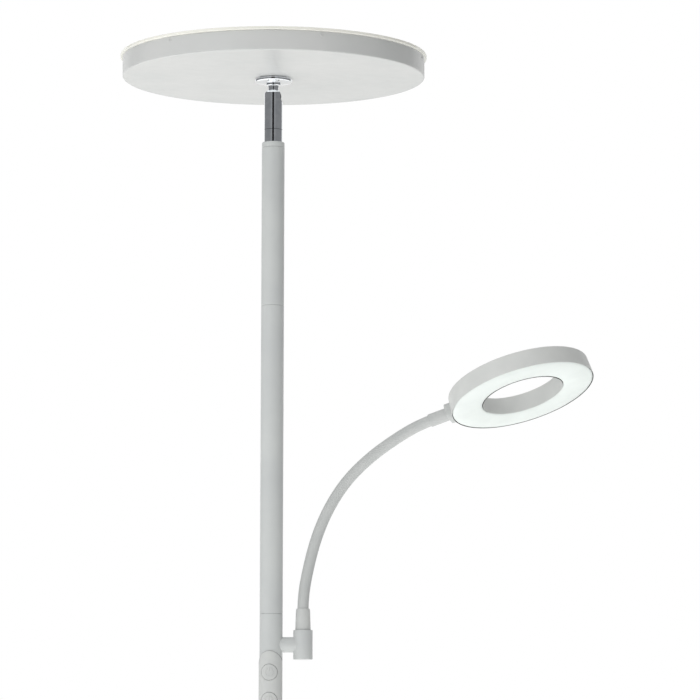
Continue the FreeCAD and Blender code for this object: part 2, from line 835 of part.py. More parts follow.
def ring_diffuser():
    out = ring_radius - ring_lip - seat_gap
    into = ring_hole_radius + ring_lip + seat_gap
    middle = (out + into) / 2
    t = ring_diffuser_thickness
    top = ring_lip_depth - seat_gap
    rebate = ring_face_rebate
    rim = ring_diffuser_rim
    return place_ring(turned([
        (into, top), (into, rebate), ((middle, -ring_crown), (out, rebate)), (out, top),
        (out - rim, top), ((middle, t - ring_crown), (into + rim, top))]))


def ring_board():
    out = ring_radius - ring_wall - seat_gap
    into = ring_hole_radius + ring_wall + seat_gap
    return place_ring(pipe(out, into, ring_board_height, ring_board_thickness))


def ring_leds():
    middle = (ring_radius + ring_hole_radius) / 2
    size = (led_side, led_side, led_height)
    chip = box(size, FreeCAD.Vector(0, -middle, ring_board_height - led_height / 2))
    return place_ring(Part.makeCompound(around(chip, ring_led_count)))


# --- Switch ---------------------------------------------------------------------------
def stadium(half_width, top, bottom):
    """A round-ended upright slot, extruded from the pole axis to the front."""
    level_top = top - half_width
    level_bottom = bottom + half_width
    left_top = FreeCAD.Vector(-half_width, 0, level_top)
    right_top = FreeCAD.Vector(half_width, 0, level_top)
    left_low = FreeCAD.Vector(-half_width, 0, level_bottom)
    right_low = FreeCAD.Vector(half_width, 0, level_bottom)
    edges = [
        Part.makeLine(left_low, left_top),
        Part.Arc(left_top, FreeCAD.Vector(0, 0, top), right_top).toShape(),
        Part.makeLine(right_top, right_low),
        Part.Arc(right_low, FreeCAD.Vector(0, 0, bottom), left_low).toShape()]
    return Part.Face(Part.Wire(edges)).extrude(FreeCAD.Vector(0, -3 * tube_radius, 0))


def switch_cover():
    wrap = pipe(cover_radius, tube_radius + seat_gap, cover_bottom - overshoot,
                cover_top - cover_bottom + 2 * overshoot)
    cover = wrap.common(stadium(cover_radius, cover_top, cover_bottom))
    for level in button_levels:
        hole = rod(button_radius + moving_gap, FreeCAD.Vector(0, 0, level),
                   FreeCAD.Vector(0, -1, 0), 3 * tube_radius)
        cover = cover.cut(hole)
    return front_facing(cover)


def push_button(level):
    """A cap whose face follows the cover's curve, with a stem for the switch behind."""
    forward = FreeCAD.Vector(0, -1, 0)
    cap = rod(button_radius, FreeCAD.Vector(0, -button_back, level), forward, 2 * tube_radius)
    face = rod(cover_radius + button_rise, FreeCAD.Vector(0, 0, level - 2 * button_radius),
               z_axis, 4 * button_radius)
    cap = cap.common(face)
    stem = rod(button_stem_radius, FreeCAD.Vector(0, -stem_end(), level), forward,
               button_back - stem_end() + overshoot)
    return front_facing(cap.fuse(stem))


def board_front():
    return board_thickness / 2


def stem_end():
    """Distance from the pole axis to the stem's tip at rest."""
    return board_front() + tact_height + plunger_height + button_travel + stem_gap


def switch_board():
    half = math.sqrt((tube_bore - seat_gap) ** 2 - board_front() ** 2)
    height = button_levels[0] - button_levels[1] + 2 * board_margin
    middle = (button_levels[0] + button_levels[1]) / 2
    return front_facing(box((2 * half, board_thickness, height), FreeCAD.Vector(0, 0, middle)))


def tact_switches():
    switches = []
    for level in button_levels:
        front = board_front()
        case = box((tact_side, tact_height, tact_side),
                   FreeCAD.Vector(0, -front - tact_height / 2, level))
        plunger = rod(plunger_radius, FreeCAD.Vector(0, -front - tact_height, level),
                      FreeCAD.Vector(0, -1, 0), plunger_height)
        switches.append(front_facing(case.fuse(plunger)))
    return Part.makeCompound(switches)


# --- All the pieces ---------------------------------------------------------------------
def all_pieces():
    pieces = {
        "base_pad": base_pad(),
        "base_weight": base_weight(),
        "base_cover": base_cover(),
        "foot_collar": foot_collar(),
        "foot_nipple": foot_nipple(),
        "foot_washer": foot_washer(),
        "foot_nut": foot_nut(),
        "cord_grommet": cord_grommet(),
        "tube_plugs": tube_plugs(),
        "joint_nipples": joint_nipples(),
        "pole_collar": pole_collar(),
        "swivel_base": swivel_base(),
        "swivel_bushing": swivel_bushing(),
        "swivel_cap": swivel_cap(),
        "ball_seat": ball_seat(),
        "disc_springs": disc_springs(),
        "ball_stud": ball_stud(),
        "head_flange": head_flange(),
        "head_washer": head_washer(),
        "head_nut": head_nut(),
        "head_pan": head_pan(),
        "plate_standoffs": plate_standoffs(),
        "led_plate": led_plate(),
        "uplight_leds": uplight_leds(),
        "led_driver": led_driver(),
        "uplight_diffuser": uplight_diffuser(),
        "rim_screws": rim_screws(),
        "arm_stub": arm_stub(),
        "arm_nut": arm_nut(),
        "arm_cup": arm_cup(),
        "lower_ferrule": lower_ferrule(),
        "upper_ferrule": upper_ferrule(),
        "ring_boss": ring_boss(),
        "ring_housing": ring_housing(),
        "ring_diffuser": ring_diffuser(),
        "ring_board": ring_board(),
        "ring_leds": ring_leds(),
        "switch_cover": switch_cover(),
        "uplight_button": push_button(button_levels[0]),
        "reading_button": push_button(button_levels[1]),
        "switch_board": switch_board(),
        "tact_switches": tact_switches(),
    }
    for name in tube_names:
        pieces[name] = pole_tube(name)
    for i in range(len(link_turns)):
        pieces["neck_link_%d" % (i + 1)] = neck_link(i)
    return pieces


os.makedirs("parts", exist_ok=True)
for name, shape in sorted(all_pieces().items()):
    shape.exportStep("parts/%s.step" % name)
    print("%-18s solids %2d  volume %10.1f  valid %s"
          % (name, len(shape.Solids), shape.Volume, shape.isValid()))
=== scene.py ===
import json
import math

import bpy
from mathutils import Matrix, Vector

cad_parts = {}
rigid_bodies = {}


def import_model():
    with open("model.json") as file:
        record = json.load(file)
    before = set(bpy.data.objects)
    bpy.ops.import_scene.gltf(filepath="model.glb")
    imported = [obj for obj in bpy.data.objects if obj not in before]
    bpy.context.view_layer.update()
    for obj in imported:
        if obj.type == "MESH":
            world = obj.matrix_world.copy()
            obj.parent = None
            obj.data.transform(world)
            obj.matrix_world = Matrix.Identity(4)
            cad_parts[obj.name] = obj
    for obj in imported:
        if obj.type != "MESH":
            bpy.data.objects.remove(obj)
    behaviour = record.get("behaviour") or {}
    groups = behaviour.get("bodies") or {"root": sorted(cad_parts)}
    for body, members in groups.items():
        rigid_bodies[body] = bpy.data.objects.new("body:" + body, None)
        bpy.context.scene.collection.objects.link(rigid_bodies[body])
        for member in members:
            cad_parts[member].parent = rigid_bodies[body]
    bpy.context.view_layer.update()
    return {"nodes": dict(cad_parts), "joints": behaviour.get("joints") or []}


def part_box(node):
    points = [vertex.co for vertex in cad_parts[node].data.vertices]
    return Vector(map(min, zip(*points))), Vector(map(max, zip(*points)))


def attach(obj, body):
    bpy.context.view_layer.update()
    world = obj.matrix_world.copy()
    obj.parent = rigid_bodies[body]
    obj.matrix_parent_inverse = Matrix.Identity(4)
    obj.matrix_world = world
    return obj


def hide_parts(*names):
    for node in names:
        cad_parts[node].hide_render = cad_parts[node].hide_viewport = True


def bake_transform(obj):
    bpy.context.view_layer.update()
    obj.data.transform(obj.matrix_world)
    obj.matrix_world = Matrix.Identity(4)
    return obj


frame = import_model()
nodes = frame["nodes"]
joints = {joint["name"]: joint for joint in frame["joints"]}
print("frame loaded:", len(nodes), "nodes")


# small helpers

def mm(value):  # from mm to the scene's metres
    return value / 1000


def inMm(value):
    return value * 1000


def middle(low, high):  # of two places in metres, in mm
    return (low + high) * 500


def hexColour(text):  # sRGB hex to linear
    parts = [int(text[i:i + 2], 16) / 255 for i in (1, 3, 5)]
    linear = [p / 12.92 if p <= 0.04045 else ((p + 0.055) / 1.055) ** 2.4 for p in parts]
    return (*linear, 1.0)


def deselectAll():
    if bpy.context.mode != "OBJECT":
        bpy.ops.object.mode_set(mode="OBJECT")
    bpy.ops.object.select_all(action="DESELECT")


def makeActive(obj):
    deselectAll()
    obj.select_set(True)
    bpy.context.view_layer.objects.active = obj


def applyPlace(obj):  # leaves the object at the origin, with its place in its mesh
    makeActive(obj)
    bpy.ops.object.transform_apply(location=True, rotation=True, scale=True)


def placeBy(obj, matrix):
    obj.matrix_world = matrix
    applyPlace(obj)


def pickIn(obj, kind, wanted):
    # leaves edit mode on with only the wanted faces or edges selected
    makeActive(obj)
    bpy.ops.object.mode_set(mode="EDIT")
    bpy.ops.mesh.select_all(action="DESELECT")
    bpy.ops.mesh.select_mode(type=kind)
    bpy.ops.object.mode_set(mode="OBJECT")
    parts = obj.data.polygons if kind == "FACE" else obj.data.edges
    for part in parts:
        part.select = wanted(part)
    bpy.ops.object.mode_set(mode="EDIT")


def leaveEdit():
    bpy.ops.mesh.select_mode(type="VERT")
    bpy.ops.object.mode_set(mode="OBJECT")


def applyModifier(obj, kind, **settings):
    makeActive(obj)
    modifier = obj.modifiers.new(kind.lower(), kind)
    for key, value in settings.items():
        setattr(modifier, key, value)
    bpy.ops.object.modifier_apply(modifier=modifier.name)


def bevelEdges(obj, width, segments=2, angle=35):
    applyModifier(obj, "BEVEL", width=mm(width), segments=segments, limit_method="ANGLE",
                  angle_limit=math.radians(angle), miter_outer="MITER_ARC")


weld = {"cut": 0.004, "turned": 0.002}  # mm, points closer than this are joined


def combine(obj, tool, operation):  # cuts, joins or keeps what two shapes share
    applyModifier(obj, "BOOLEAN", object=tool, operation=operation, solver="EXACT")
    bpy.data.objects.remove(tool)
    makeActive(obj)
    bpy.ops.object.mode_set(mode="EDIT")
    bpy.ops.mesh.select_all(action="SELECT")
    bpy.ops.mesh.remove_doubles(threshold=mm(weld["cut"]))
    bpy.ops.object.mode_set(mode="OBJECT")


def arcPoints(cr, cz, radius, start, end, count):  # a round stretch of a profile, in mm
    points = []
    for i in range(count + 1):
        a = math.radians(start + (end - start) * i / count)
        points.append((cr + radius * math.cos(a), cz + radius * math.sin(a)))
    return points


def closeSkin(fillEnds):  # ends edit mode with a clean skin that faces outwards
    bpy.ops.mesh.select_all(action="SELECT")
    bpy.ops.mesh.remove_doubles(threshold=mm(weld["turned"]))
    if fillEnds:
        bpy.ops.mesh.fill_holes(sides=0)
    bpy.ops.mesh.select_all(action="SELECT")
    bpy.ops.mesh.normals_make_consistent(inside=False)
    bpy.ops.object.mode_set(mode="OBJECT")


def turnProfile(name, profile, segments=96, closed=True):
    # the profile is (radius, height) in mm, and each point becomes one extruded ring
    deselectAll()
    startRadius, startHeight = profile[0]
    bpy.ops.mesh.primitive_circle_add(vertices=segments, radius=mm(startRadius),
                                      location=(0, 0, mm(startHeight)))
    obj = bpy.context.object
    obj.name = name
    applyPlace(obj)
    bpy.ops.object.mode_set(mode="EDIT")
    bpy.ops.mesh.select_all(action="SELECT")
    ends = profile[1:] + profile[:1] if closed else profile[1:]
    for (fromRadius, fromHeight), (toRadius, toHeight) in zip(profile, ends):
        rise = mm(toHeight - fromHeight)
        bpy.ops.mesh.extrude_edges_move(TRANSFORM_OT_translate={"value": (0, 0, rise)})
        if abs(toRadius - fromRadius) > 1e-6:
            grow = toRadius / fromRadius
            bpy.ops.transform.resize(value=(grow, grow, 1), center_override=(0, 0, mm(toHeight)))
    closeSkin(fillEnds=not closed)
    return obj


def barAlong(name, radius, start, end, segments=64):  # a round bar between two points, in mm
    deselectAll()
    a, b = Vector(start), Vector(end)
    bpy.ops.mesh.primitive_cylinder_add(vertices=segments, radius=mm(radius),
                                        depth=mm((b - a).length), location=mm((a + b) / 2))
    obj = bpy.context.object
    obj.name = name
    obj.rotation_mode = "QUATERNION"
    obj.rotation_quaternion = (b - a).to_track_quat("Z", "Y")
    applyPlace(obj)
    return obj


def blockAt(name, size, centre):  # sizes and centre in mm
    deselectAll()
    bpy.ops.mesh.primitive_cube_add(size=1, location=mm(Vector(centre)))
    obj = bpy.context.object
    obj.name = name
    obj.scale = mm(Vector(size))
    applyPlace(obj)
    return obj


def finishPiece(obj, material, slot, body, *replaced, smooth=32, inside=None):
    makeActive(obj)
    bpy.ops.object.shade_smooth_by_angle(angle=math.radians(smooth))
    if body:  # large faces keep their own normals beside small roundings
        applyModifier(obj, "WEIGHTED_NORMAL", keep_sharp=True)
    obj.data.materials.clear()
    obj.data.materials.append(material)
    if inside:  # a second material on the faces that a rule picks
        obj.data.materials.append(inside[0])
        for face in obj.data.polygons:
            face.material_index = 1 if inside[1](inMm(face.center)) else 0
    if body:
        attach(obj, body)
    if replaced:
        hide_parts(*replaced)


# camera

camera = {
    "x": 74.7, "y": -3959.4, "belowUplight": 741.6,   # mm, height below the pan's underside
    "pitch": 6.864, "roll": 0.128, "focalPixels": 4145, "framePixels": 700, "sensor": 36.0,
    "clipEnd": 100,  # m
}
panLow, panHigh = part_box("head_pan")


def addCamera(look):
    data = bpy.data.cameras.new("camera")
    data.sensor_width = look["sensor"]
    data.lens = look["sensor"] * look["focalPixels"] / look["framePixels"]
    obj = bpy.data.objects.new("camera", data)
    bpy.context.scene.collection.objects.link(obj)
    pitch, roll = math.radians(look["pitch"]), math.radians(look["roll"])
    forward = Vector((0, math.cos(pitch), math.sin(pitch)))
    right = Vector((1, 0, 0))
    up = right.cross(forward)
    rolledRight = right * math.cos(roll) + up * math.sin(roll)
    rolledUp = up * math.cos(roll) - right * math.sin(roll)
    turn = Matrix((rolledRight, rolledUp, -forward)).transposed().to_4x4()
    place = Vector((mm(look["x"]), mm(look["y"]), panLow.z - mm(look["belowUplight"])))
    obj.matrix_world = Matrix.Translation(place) @ turn
    data.clip_end = look["clipEnd"]
    bpy.context.scene.camera = obj


addCamera(camera)


# materials

def addNode(tree, kind, inputs=None, **settings):
    node = tree.nodes.new(kind)
    for key, value in settings.items():
        setattr(node, key, value)
    for key, value in (inputs or {}).items():
        if isinstance(value, bpy.types.NodeSocket):
            tree.links.new(value, node.inputs[key])
        else:
            node.inputs[key].default_value = value
    return node


def newMaterial(name):
    material = bpy.data.materials.new(name)
    material.use_nodes = True
    tree = material.node_tree
    tree.nodes.clear()
    place = addNode(tree, "ShaderNodeTexCoord").outputs["Object"]
    return material, tree, place


def endMaterial(tree, inputs):
    shader = addNode(tree, "ShaderNodeBsdfPrincipled", inputs)
    addNode(tree, "ShaderNodeOutputMaterial", {"Surface": shader.outputs["BSDF"]})


# cloudDetail and fineDetail: octaves of noise in the colour, and in the roughness and the grain
noise = {"cloudDetail": 3.0, "fineDetail": 2.0, "cloudEdges": (0.35, 0.65), "span": (0.3, 0.7)}


def noiseOf(tree, place, size, detail):  # cloudy grey with patches of that size in mm
    inputs = {"Vector": place, "Scale": inMm(1) / size, "Detail": detail}
    return addNode(tree, "ShaderNodeTexNoise", inputs).outputs["Fac"]


def mottled(tree, place, look):  # two colours in soft clouds
    clouds = noiseOf(tree, place, look["cloud"], noise["cloudDetail"])
    ramp = addNode(tree, "ShaderNodeValToRGB", {"Fac": clouds})
    ends = zip(ramp.color_ramp.elements, noise["cloudEdges"], (look["dark"], look["light"]))
    for element, position, colour in ends:
        element.position = position
        element.color = hexColour(colour)
    return ramp.outputs["Color"]


def uneven(tree, place, look):  # a roughness that drifts between two values
    patches = noiseOf(tree, place, look["patch"], noise["fineDetail"])
    low, high = noise["span"]
    least, most = look["rough"]
    spread = addNode(tree, "ShaderNodeMapRange", {"Value": patches, "From Min": low, "From Max": high,
                                                  "To Min": least, "To Max": most})
    return spread.outputs["Result"]


def grained(tree, place, look):  # a bump of the grain's size and depth
    height = noiseOf(tree, place, look["grain"], noise["fineDetail"])
    return addNode(tree, "ShaderNodeBump", {"Height": height, "Distance": mm(look["depth"]),
                                            "Strength": 1.0}).outputs["Normal"]


def solidMaterial(name, look, squeeze=None):
    # cloud, patch, grain and depth are in mm; shader holds the surface's own values
    material, tree, place = newMaterial(name)
    marks = place
    if squeeze:  # marks that run round a turned piece
        marks = addNode(tree, "ShaderNodeMapping", {"Vector": place, "Scale": squeeze}).outputs["Vector"]
    endMaterial(tree, {"Base Color": mottled(tree, place, look), "Roughness": uneven(tree, marks, look),
                       "Normal": grained(tree, marks, look), **look["shader"]})
    return material


def mouldedMaterial(name, look):
    return solidMaterial(name, {"patch": 5, "shader": {"IOR": look["ior"]}, **look})


def metalMaterial(name, look):
    return solidMaterial(name, {"patch": 2.5, "shader": {"Metallic": 1.0}, **look})


# powder coat: polyester paint baked on steel, an even satin with a faint orange peel
# real orange peel is about 0.5 mm across; it is drawn three times as coarse to show
bakedPaint = {"IOR": 1.5, "Coat Weight": 0.08, "Coat Roughness": 0.25}
tubePaint = solidMaterial("powderCoatedTube", {
    "light": "#cccfce", "dark": "#c6c9c9", "cloud": 45, "rough": (0.36, 0.46), "patch": 12,
    "grain": 1.6, "depth": 0.012, "shader": bakedPaint})
# base and foot collar: a slightly thicker coat, made paler as painted light because they get less light than
# the pole
basePaintWithPaintedLight = solidMaterial("powderCoatedBasePaintedLight", {
    "light": "#dcdfde", "dark": "#d5d8d8", "cloud": 60, "rough": (0.40, 0.50), "patch": 12,
    "grain": 1.9, "depth": 0.014, "shader": bakedPaint})
# spun and painted pan: the same paint, laid on thinner, so its grain is finer
uplightPaint = solidMaterial("powderCoatedPan", {
    "light": "#cecfce", "dark": "#c8cac9", "cloud": 70, "rough": (0.30, 0.38), "patch": 12,
    "grain": 1.4, "depth": 0.008, "shader": bakedPaint})

# chrome: bright nickel and chromium plate on turned brass, a hard mirror with faint polish marks
chrome = solidMaterial("polishedChromePlate", {
    "light": "#e9ebed", "dark": "#dde0e3", "cloud": 5, "rough": (0.045, 0.10), "patch": 0.8,
    "grain": 0.8, "depth": 0.0012, "shader": {"Metallic": 1.0}}, squeeze=(1, 1, 6))
# black oxide: dark steel under a film of grease; on the ball it is the ball's own steel and also painted
# shade from the socket round it, and on the socket's inside and the stud's bore it is painted shade only
oxideSteelAndPaintedShade = metalMaterial("blackOxideAndPaintedShade", {
    "light": "#26262a", "dark": "#17171a", "cloud": 2, "rough": (0.35, 0.5),
    "grain": 0.6, "depth": 0.004})
# zinc plate: cool grey with the faint spangle and stains of a barrel-plated fastener
zinc = metalMaterial("zincPlatedSteel", {
    "light": "#b9bab8", "dark": "#8f9293", "cloud": 4, "rough": (0.28, 0.45),
    "grain": 0.8, "depth": 0.01})
# spring steel: blued by tempering, under a film of oil
springMetal = metalMaterial("temperedSpringSteel", {
    "light": "#5a5d63", "dark": "#3b3e46", "cloud": 3, "rough": (0.25, 0.4),
    "grain": 0.6, "depth": 0.006})
# cast iron: sand casting, dark and pitted
iron = mouldedMaterial("sandCastIron", {
    "light": "#3d3c3b", "dark": "#2a2a2b", "cloud": 9, "rough": (0.7, 0.9),
    "grain": 1.8, "depth": 0.25, "ior": 1.5})

# opal acrylic: cast PMMA full of white pigment, glossy and a little deep
acrylic = solidMaterial("opalAcrylic", {
    "light": "#f1f0e8", "dark": "#ebebe2", "cloud": 60, "rough": (0.16, 0.24), "patch": 30,
    "grain": 3.0, "depth": 0.006,
    "shader": {"IOR": 1.49, "Subsurface Weight": 0.25, "Subsurface Scale": 0.004,
               "Subsurface Radius": (1.0, 0.97, 0.9)}})
# opal polycarbonate: moulded diffuser with a fine matt spark finish that scatters the light
polycarbonate = solidMaterial("opalPolycarbonate", {
    "light": "#e7eeeb", "dark": "#e2e9e6", "cloud": 22, "rough": (0.42, 0.52), "patch": 6,
    "grain": 0.9, "depth": 0.01,
    "shader": {"IOR": 1.58, "Subsurface Weight": 0.3, "Subsurface Scale": 0.003,
               "Subsurface Radius": (0.95, 1.0, 0.98)}})

# ABS: injection moulded, with the fine even grain of a spark-eroded tool
absPlastic = mouldedMaterial("mouldedAbs", {
    "light": "#cdcfcd", "dark": "#c8cac9", "cloud": 18, "rough": (0.40, 0.5),
    "grain": 0.7, "depth": 0.01, "ior": 1.53})
# the ring's housing is a paler batch of it
ringAbs = mouldedMaterial("paleMouldedAbs", {
    "light": "#d6d8d6", "dark": "#d1d3d1", "cloud": 24, "rough": (0.40, 0.5),
    "grain": 0.7, "depth": 0.01, "ior": 1.53})
# PVC: an extruded sleeve over the steel hose, whose turns just show as a slow ripple
sleevePvc = mouldedMaterial("extrudedPvcSleeve", {
    "light": "#c2c4c3", "dark": "#bcbfbe", "cloud": 14, "rough": (0.42, 0.52),
    "grain": 1.1, "depth": 0.014, "ior": 1.52})
# upper ferrule and boss are the same grey, moulded in polypropylene
ferrulePlastic = mouldedMaterial("mouldedPolypropylene", {
    "light": "#c2c4c3", "dark": "#bbbebd", "cloud": 16, "rough": (0.4, 0.5),
    "grain": 0.8, "depth": 0.008, "ior": 1.49})
# painted shadow line: a silicone-like grey, drawn as a thin band round the switch cover and in the groove
# round the ring's cover, where there is only a shadow gap
paintedShadowLine = mouldedMaterial("paintedShadowLineGrey", {
    "light": "#5c5e5d", "dark": "#525554", "cloud": 9, "rough": (0.5, 0.6),
    "grain": 0.7, "depth": 0.01, "ior": 1.41})
# foam rubber: black closed-cell sheet
foam = mouldedMaterial("closedCellFoamRubber", {
    "light": "#2b2b2d", "dark": "#1f1f21", "cloud": 3, "rough": (0.85, 0.95),
    "grain": 0.9, "depth": 0.12, "ior": 1.45})
# natural nylon: milky, waxy and machined
nylonPlain = mouldedMaterial("machinedNylon", {
    "light": "#e6e3d6", "dark": "#dcd8c9", "cloud": 6, "rough": (0.35, 0.5),
    "grain": 0.6, "depth": 0.006, "ior": 1.53})
# moulded rubber: black, soft sheen
rubber = mouldedMaterial("mouldedRubber", {
    "light": "#323234", "dark": "#262628", "cloud": 5, "rough": (0.55, 0.7),
    "grain": 0.8, "depth": 0.02, "ior": 1.52})
# solder mask: white lacquer over the aluminium boards, green over the switch board
boardWhite = mouldedMaterial("whiteSolderMask", {
    "light": "#eeefec", "dark": "#e6e8e4", "cloud": 8, "rough": (0.25, 0.35),
    "grain": 0.5, "depth": 0.004, "ior": 1.52})
boardGreen = mouldedMaterial("greenSolderMask", {
    "light": "#1f6b3c", "dark": "#175530", "cloud": 4, "rough": (0.2, 0.3),
    "grain": 0.5, "depth": 0.01, "ior": 1.52})
# phosphor: yellow silicone over the chip
ledPhosphor = mouldedMaterial("phosphorSilicone", {
    "light": "#ead27a", "dark": "#dcbf57", "cloud": 1.2, "rough": (0.2, 0.3),
    "grain": 0.5, "depth": 0.01, "ior": 1.42})
# driver case: white flame-proof polycarbonate
driverPlastic = mouldedMaterial("driverPolycarbonate", {
    "light": "#e4e4e0", "dark": "#dcdcd7", "cloud": 10, "rough": (0.4, 0.5),
    "grain": 0.9, "depth": 0.02, "ior": 1.58})
# switch case: black glass-filled nylon
switchNylon = mouldedMaterial("glassFilledNylon", {
    "light": "#28282a", "dark": "#1c1c1e", "cloud": 2, "rough": (0.4, 0.5),
    "grain": 0.5, "depth": 0.01, "ior": 1.55})

cadFinish = {
    "base_pad": foam, "base_weight": iron, "foot_nipple": zinc, "foot_washer": zinc,
    "foot_nut": zinc, "cord_grommet": rubber, "tube_plugs": zinc, "joint_nipples": zinc,
    "swivel_bushing": nylonPlain, "ball_seat": nylonPlain, "disc_springs": springMetal,
    "head_washer": zinc, "head_nut": zinc, "plate_standoffs": zinc, "led_plate": boardWhite,
    "uplight_leds": ledPhosphor, "led_driver": driverPlastic, "arm_nut": zinc,
    "ring_board": boardWhite, "ring_leds": ledPhosphor, "switch_board": boardGreen,
    "tact_switches": switchNylon,
}
for name, material in cadFinish.items():
    nodes[name].data.materials.clear()
    nodes[name].data.materials.append(material)
print("materials ready")


# uplight

uplight = {"wall": 1.2, "edge": 1.5, "rimEdge": 0.3, "bore": 5.05, "floorRings": (40, 90),
           "cover": 2.0, "lipGap": 0.3, "lipEdge": 0.9, "lipUnder": 0.45, "skirtWall": 1.6,
           "skirtClear": 1.5, "coverRings": (120, 60), "centre": 3, "segments": 192}
panRadius = inMm(panHigh.x)
panFloor, panRim = inMm(panLow.z), inMm(panHigh.z)
screwLow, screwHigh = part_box("rim_screws")
screwLevel = middle(screwLow.z, screwHigh.z)


def buildPan():
    r, z, top, t, e = panRadius, panFloor, panRim, uplight["wall"], uplight["edge"]
    bore, u = uplight["bore"], uplight["rimEdge"]
    profile = [(bore, z)] + [(ring, z) for ring in uplight["floorRings"]] + [(r - e, z)]
    profile += arcPoints(r - e, z + e, e, -90, 0, 5)[1:]
    profile += [(r, top - u), (r - u, top), (r - t, top), (r - t, z + e), (r - e, z + t), (bore, z + t)]
    pan = turnProfile("uplightPan", profile, uplight["segments"])
    finishPiece(pan, uplightPaint, "pan_paint", "uplight", "head_pan", smooth=25)


def buildDiffuser():
    low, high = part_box("uplight_diffuser")
    r, top, skirtEnd = inMm(high.x), inMm(high.z), inMm(low.z)
    skirt = panRadius - uplight["skirtClear"]
    inner = skirt - uplight["skirtWall"]
    under, inside = panRim + uplight["lipGap"], top - uplight["cover"]
    e, u, centre = uplight["lipEdge"], uplight["lipUnder"], uplight["centre"]
    profile = [(centre, inside), (inner, inside), (inner, skirtEnd), (skirt, skirtEnd),
               (skirt, under), (r - u, under), (r, under + u), (r, top - e)]
    profile += arcPoints(r - e, top - e, e, 0, 90, 4)[1:]
    profile += [(ring, top) for ring in uplight["coverRings"]] + [(centre, top)]
    cover = turnProfile("uplightDiffuser", profile, uplight["segments"], closed=False)
    finishPiece(cover, acrylic, "opal_acrylic", "uplight", "uplight_diffuser", smooth=25)


screw = {"head": 1.8, "length": 1.2, "proud": 0.4, "edge": 0.22, "slot": 0.5, "cross": 2.4,
         "slotDepth": 0.35, "segments": 24, "count": 6, "first": -41.0}


def buildRimScrews():
    # one pan head with a cross slot, facing the front, copied round the rim
    face = -(panRadius + screw["proud"])
    head = barAlong("rimScrew1", screw["head"], (0, face, screwLevel),
                    (0, face + screw["length"], screwLevel), screw["segments"])
    bevelEdges(head, screw["edge"], 3, angle=50)
    wide, deep, narrow = screw["cross"], screw["slotDepth"] * 2, screw["slot"]
    for size in ((wide, deep, narrow), (narrow, deep, wide)):
        combine(head, blockAt("slotTool", size, (0, face, screwLevel)), "DIFFERENCE")
    for i in range(screw["count"]):
        angle = math.radians(screw["first"] + 360 * i / screw["count"])
        copy = head.copy()
        copy.data = head.data.copy()
        copy.name = "rimScrew%d" % (i + 1) if i else "rimScrewFirst"
        bpy.context.scene.collection.objects.link(copy)
        placeBy(copy, Matrix.Rotation(angle, 4, "Z"))
        finishPiece(copy, uplightPaint, "pan_paint", "uplight", *(["rim_screws"] if i == 0 else []))
    bpy.data.objects.remove(head)


buildPan()
buildDiffuser()
buildRimScrews()
print("uplight made")


# swivel

# the seams lie lower than in the CAD part, as in the photo
swivel = {"edge": 0.12, "slotHalf": 5.7, "slotStart": 1, "slotSides": 48, "seamDrop": 1.0,
          "seamGap": 0.1, "collarDrop": 0.7, "baseBore": 3.6, "baseSpigot": 5.6, "segments": 96}
# the flange stands off the pan by a small step, so its near edge shows as a dark line
# dome: points of its lower side, inwards from its rim and upwards from its lowest level
flange = {"bore": 5.05, "flat": 8, "dome": ((4, 0.5), (1.6, 1.0)), "round": 1.2, "roundRise": 2.2,
          "edge": 0.4, "drop": 1.7, "step": 1.3, "stepRadius": 14.5}
stud = {"ball": 7.6, "neck": 5.4, "waist": 4.95, "neckSteps": 8, "bore": 3.0, "collar": 7.0,
        "collarHeight": 2.3, "collarEdge": 0.5, "overlap": 0.2, "thread": 4.95, "platedBelow": 0.4}
socket = {"mouth": 5.9, "mouthFlat": 0.35, "shoulder": 2.9, "shoulderSteps": 7, "bore": 7.68}
near = 0.05  # mm, how far off a surface a face's centre may lie and still belong to it
ballLevel = inMm(joints["head_tilt"]["pos_m"][2])
flangeLow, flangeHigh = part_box("head_flange")
capLow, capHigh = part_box("swivel_cap")
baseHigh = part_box("swivel_base")[1]
collarLow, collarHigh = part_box("pole_collar")


def fromAxis(point):
    return math.hypot(point.x, point.y)


def buildFlange():
    f = flange
    r, low, top = inMm(flangeHigh.x), inMm(flangeLow.z) - f["drop"], inMm(flangeHigh.z)
    rim, step = top - f["step"], f["stepRadius"]
    profile = [(f["bore"], low), (f["flat"], low)] + [(r - into, low + up) for into, up in f["dome"]]
    profile += arcPoints(r - f["round"], low + f["roundRise"], f["round"], -75, 0, 6)
    profile += [(r, rim - f["edge"]), (r - f["edge"], rim), (step, rim), (step, top), (f["bore"], top)]
    obj = turnProfile("uplightFlange", profile, swivel["segments"])
    finishPiece(obj, chrome, "chrome", "uplight", "head_flange", smooth=30)


def buildStud():
    s = stud
    neckEnd = inMm(flangeLow.z) - flange["drop"] - s["collarHeight"]
    rise = math.sqrt(s["ball"] ** 2 - s["neck"] ** 2)
    start = math.degrees(math.asin(-math.sqrt(s["ball"] ** 2 - s["bore"] ** 2) / s["ball"]))
    end = math.degrees(math.asin(rise / s["ball"]))
    profile = arcPoints(0, ballLevel, s["ball"], start, end, 20)
    low = ballLevel + rise
    for i in range(1, s["neckSteps"] + 1):  # hourglass neck
        share = i / s["neckSteps"]
        pinch = (s["neck"] - s["waist"]) * math.sin(math.pi * share)
        profile.append((s["neck"] - pinch, low + (neckEnd - low) * share))
    collarTop = inMm(flangeLow.z) - flange["drop"] + s["overlap"]
    c, e, top = s["collar"], s["collarEdge"], inMm(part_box("ball_stud")[1].z)
    profile += [(c - e, neckEnd), (c, neckEnd + e), (c, collarTop), (s["thread"], collarTop),
                (s["thread"], top), (s["bore"], top)]
    obj = turnProfile("ballStud", profile, swivel["segments"])
    # dark steel on the ball, partly painted shade from the socket over it, and painted shade down the bore
    finishPiece(obj, chrome, "chrome", "uplight", "ball_stud", smooth=30,
                inside=(oxideSteelAndPaintedShade, lambda c: c.z < low - s["platedBelow"]
                        or fromAxis(c) < s["bore"] + near))


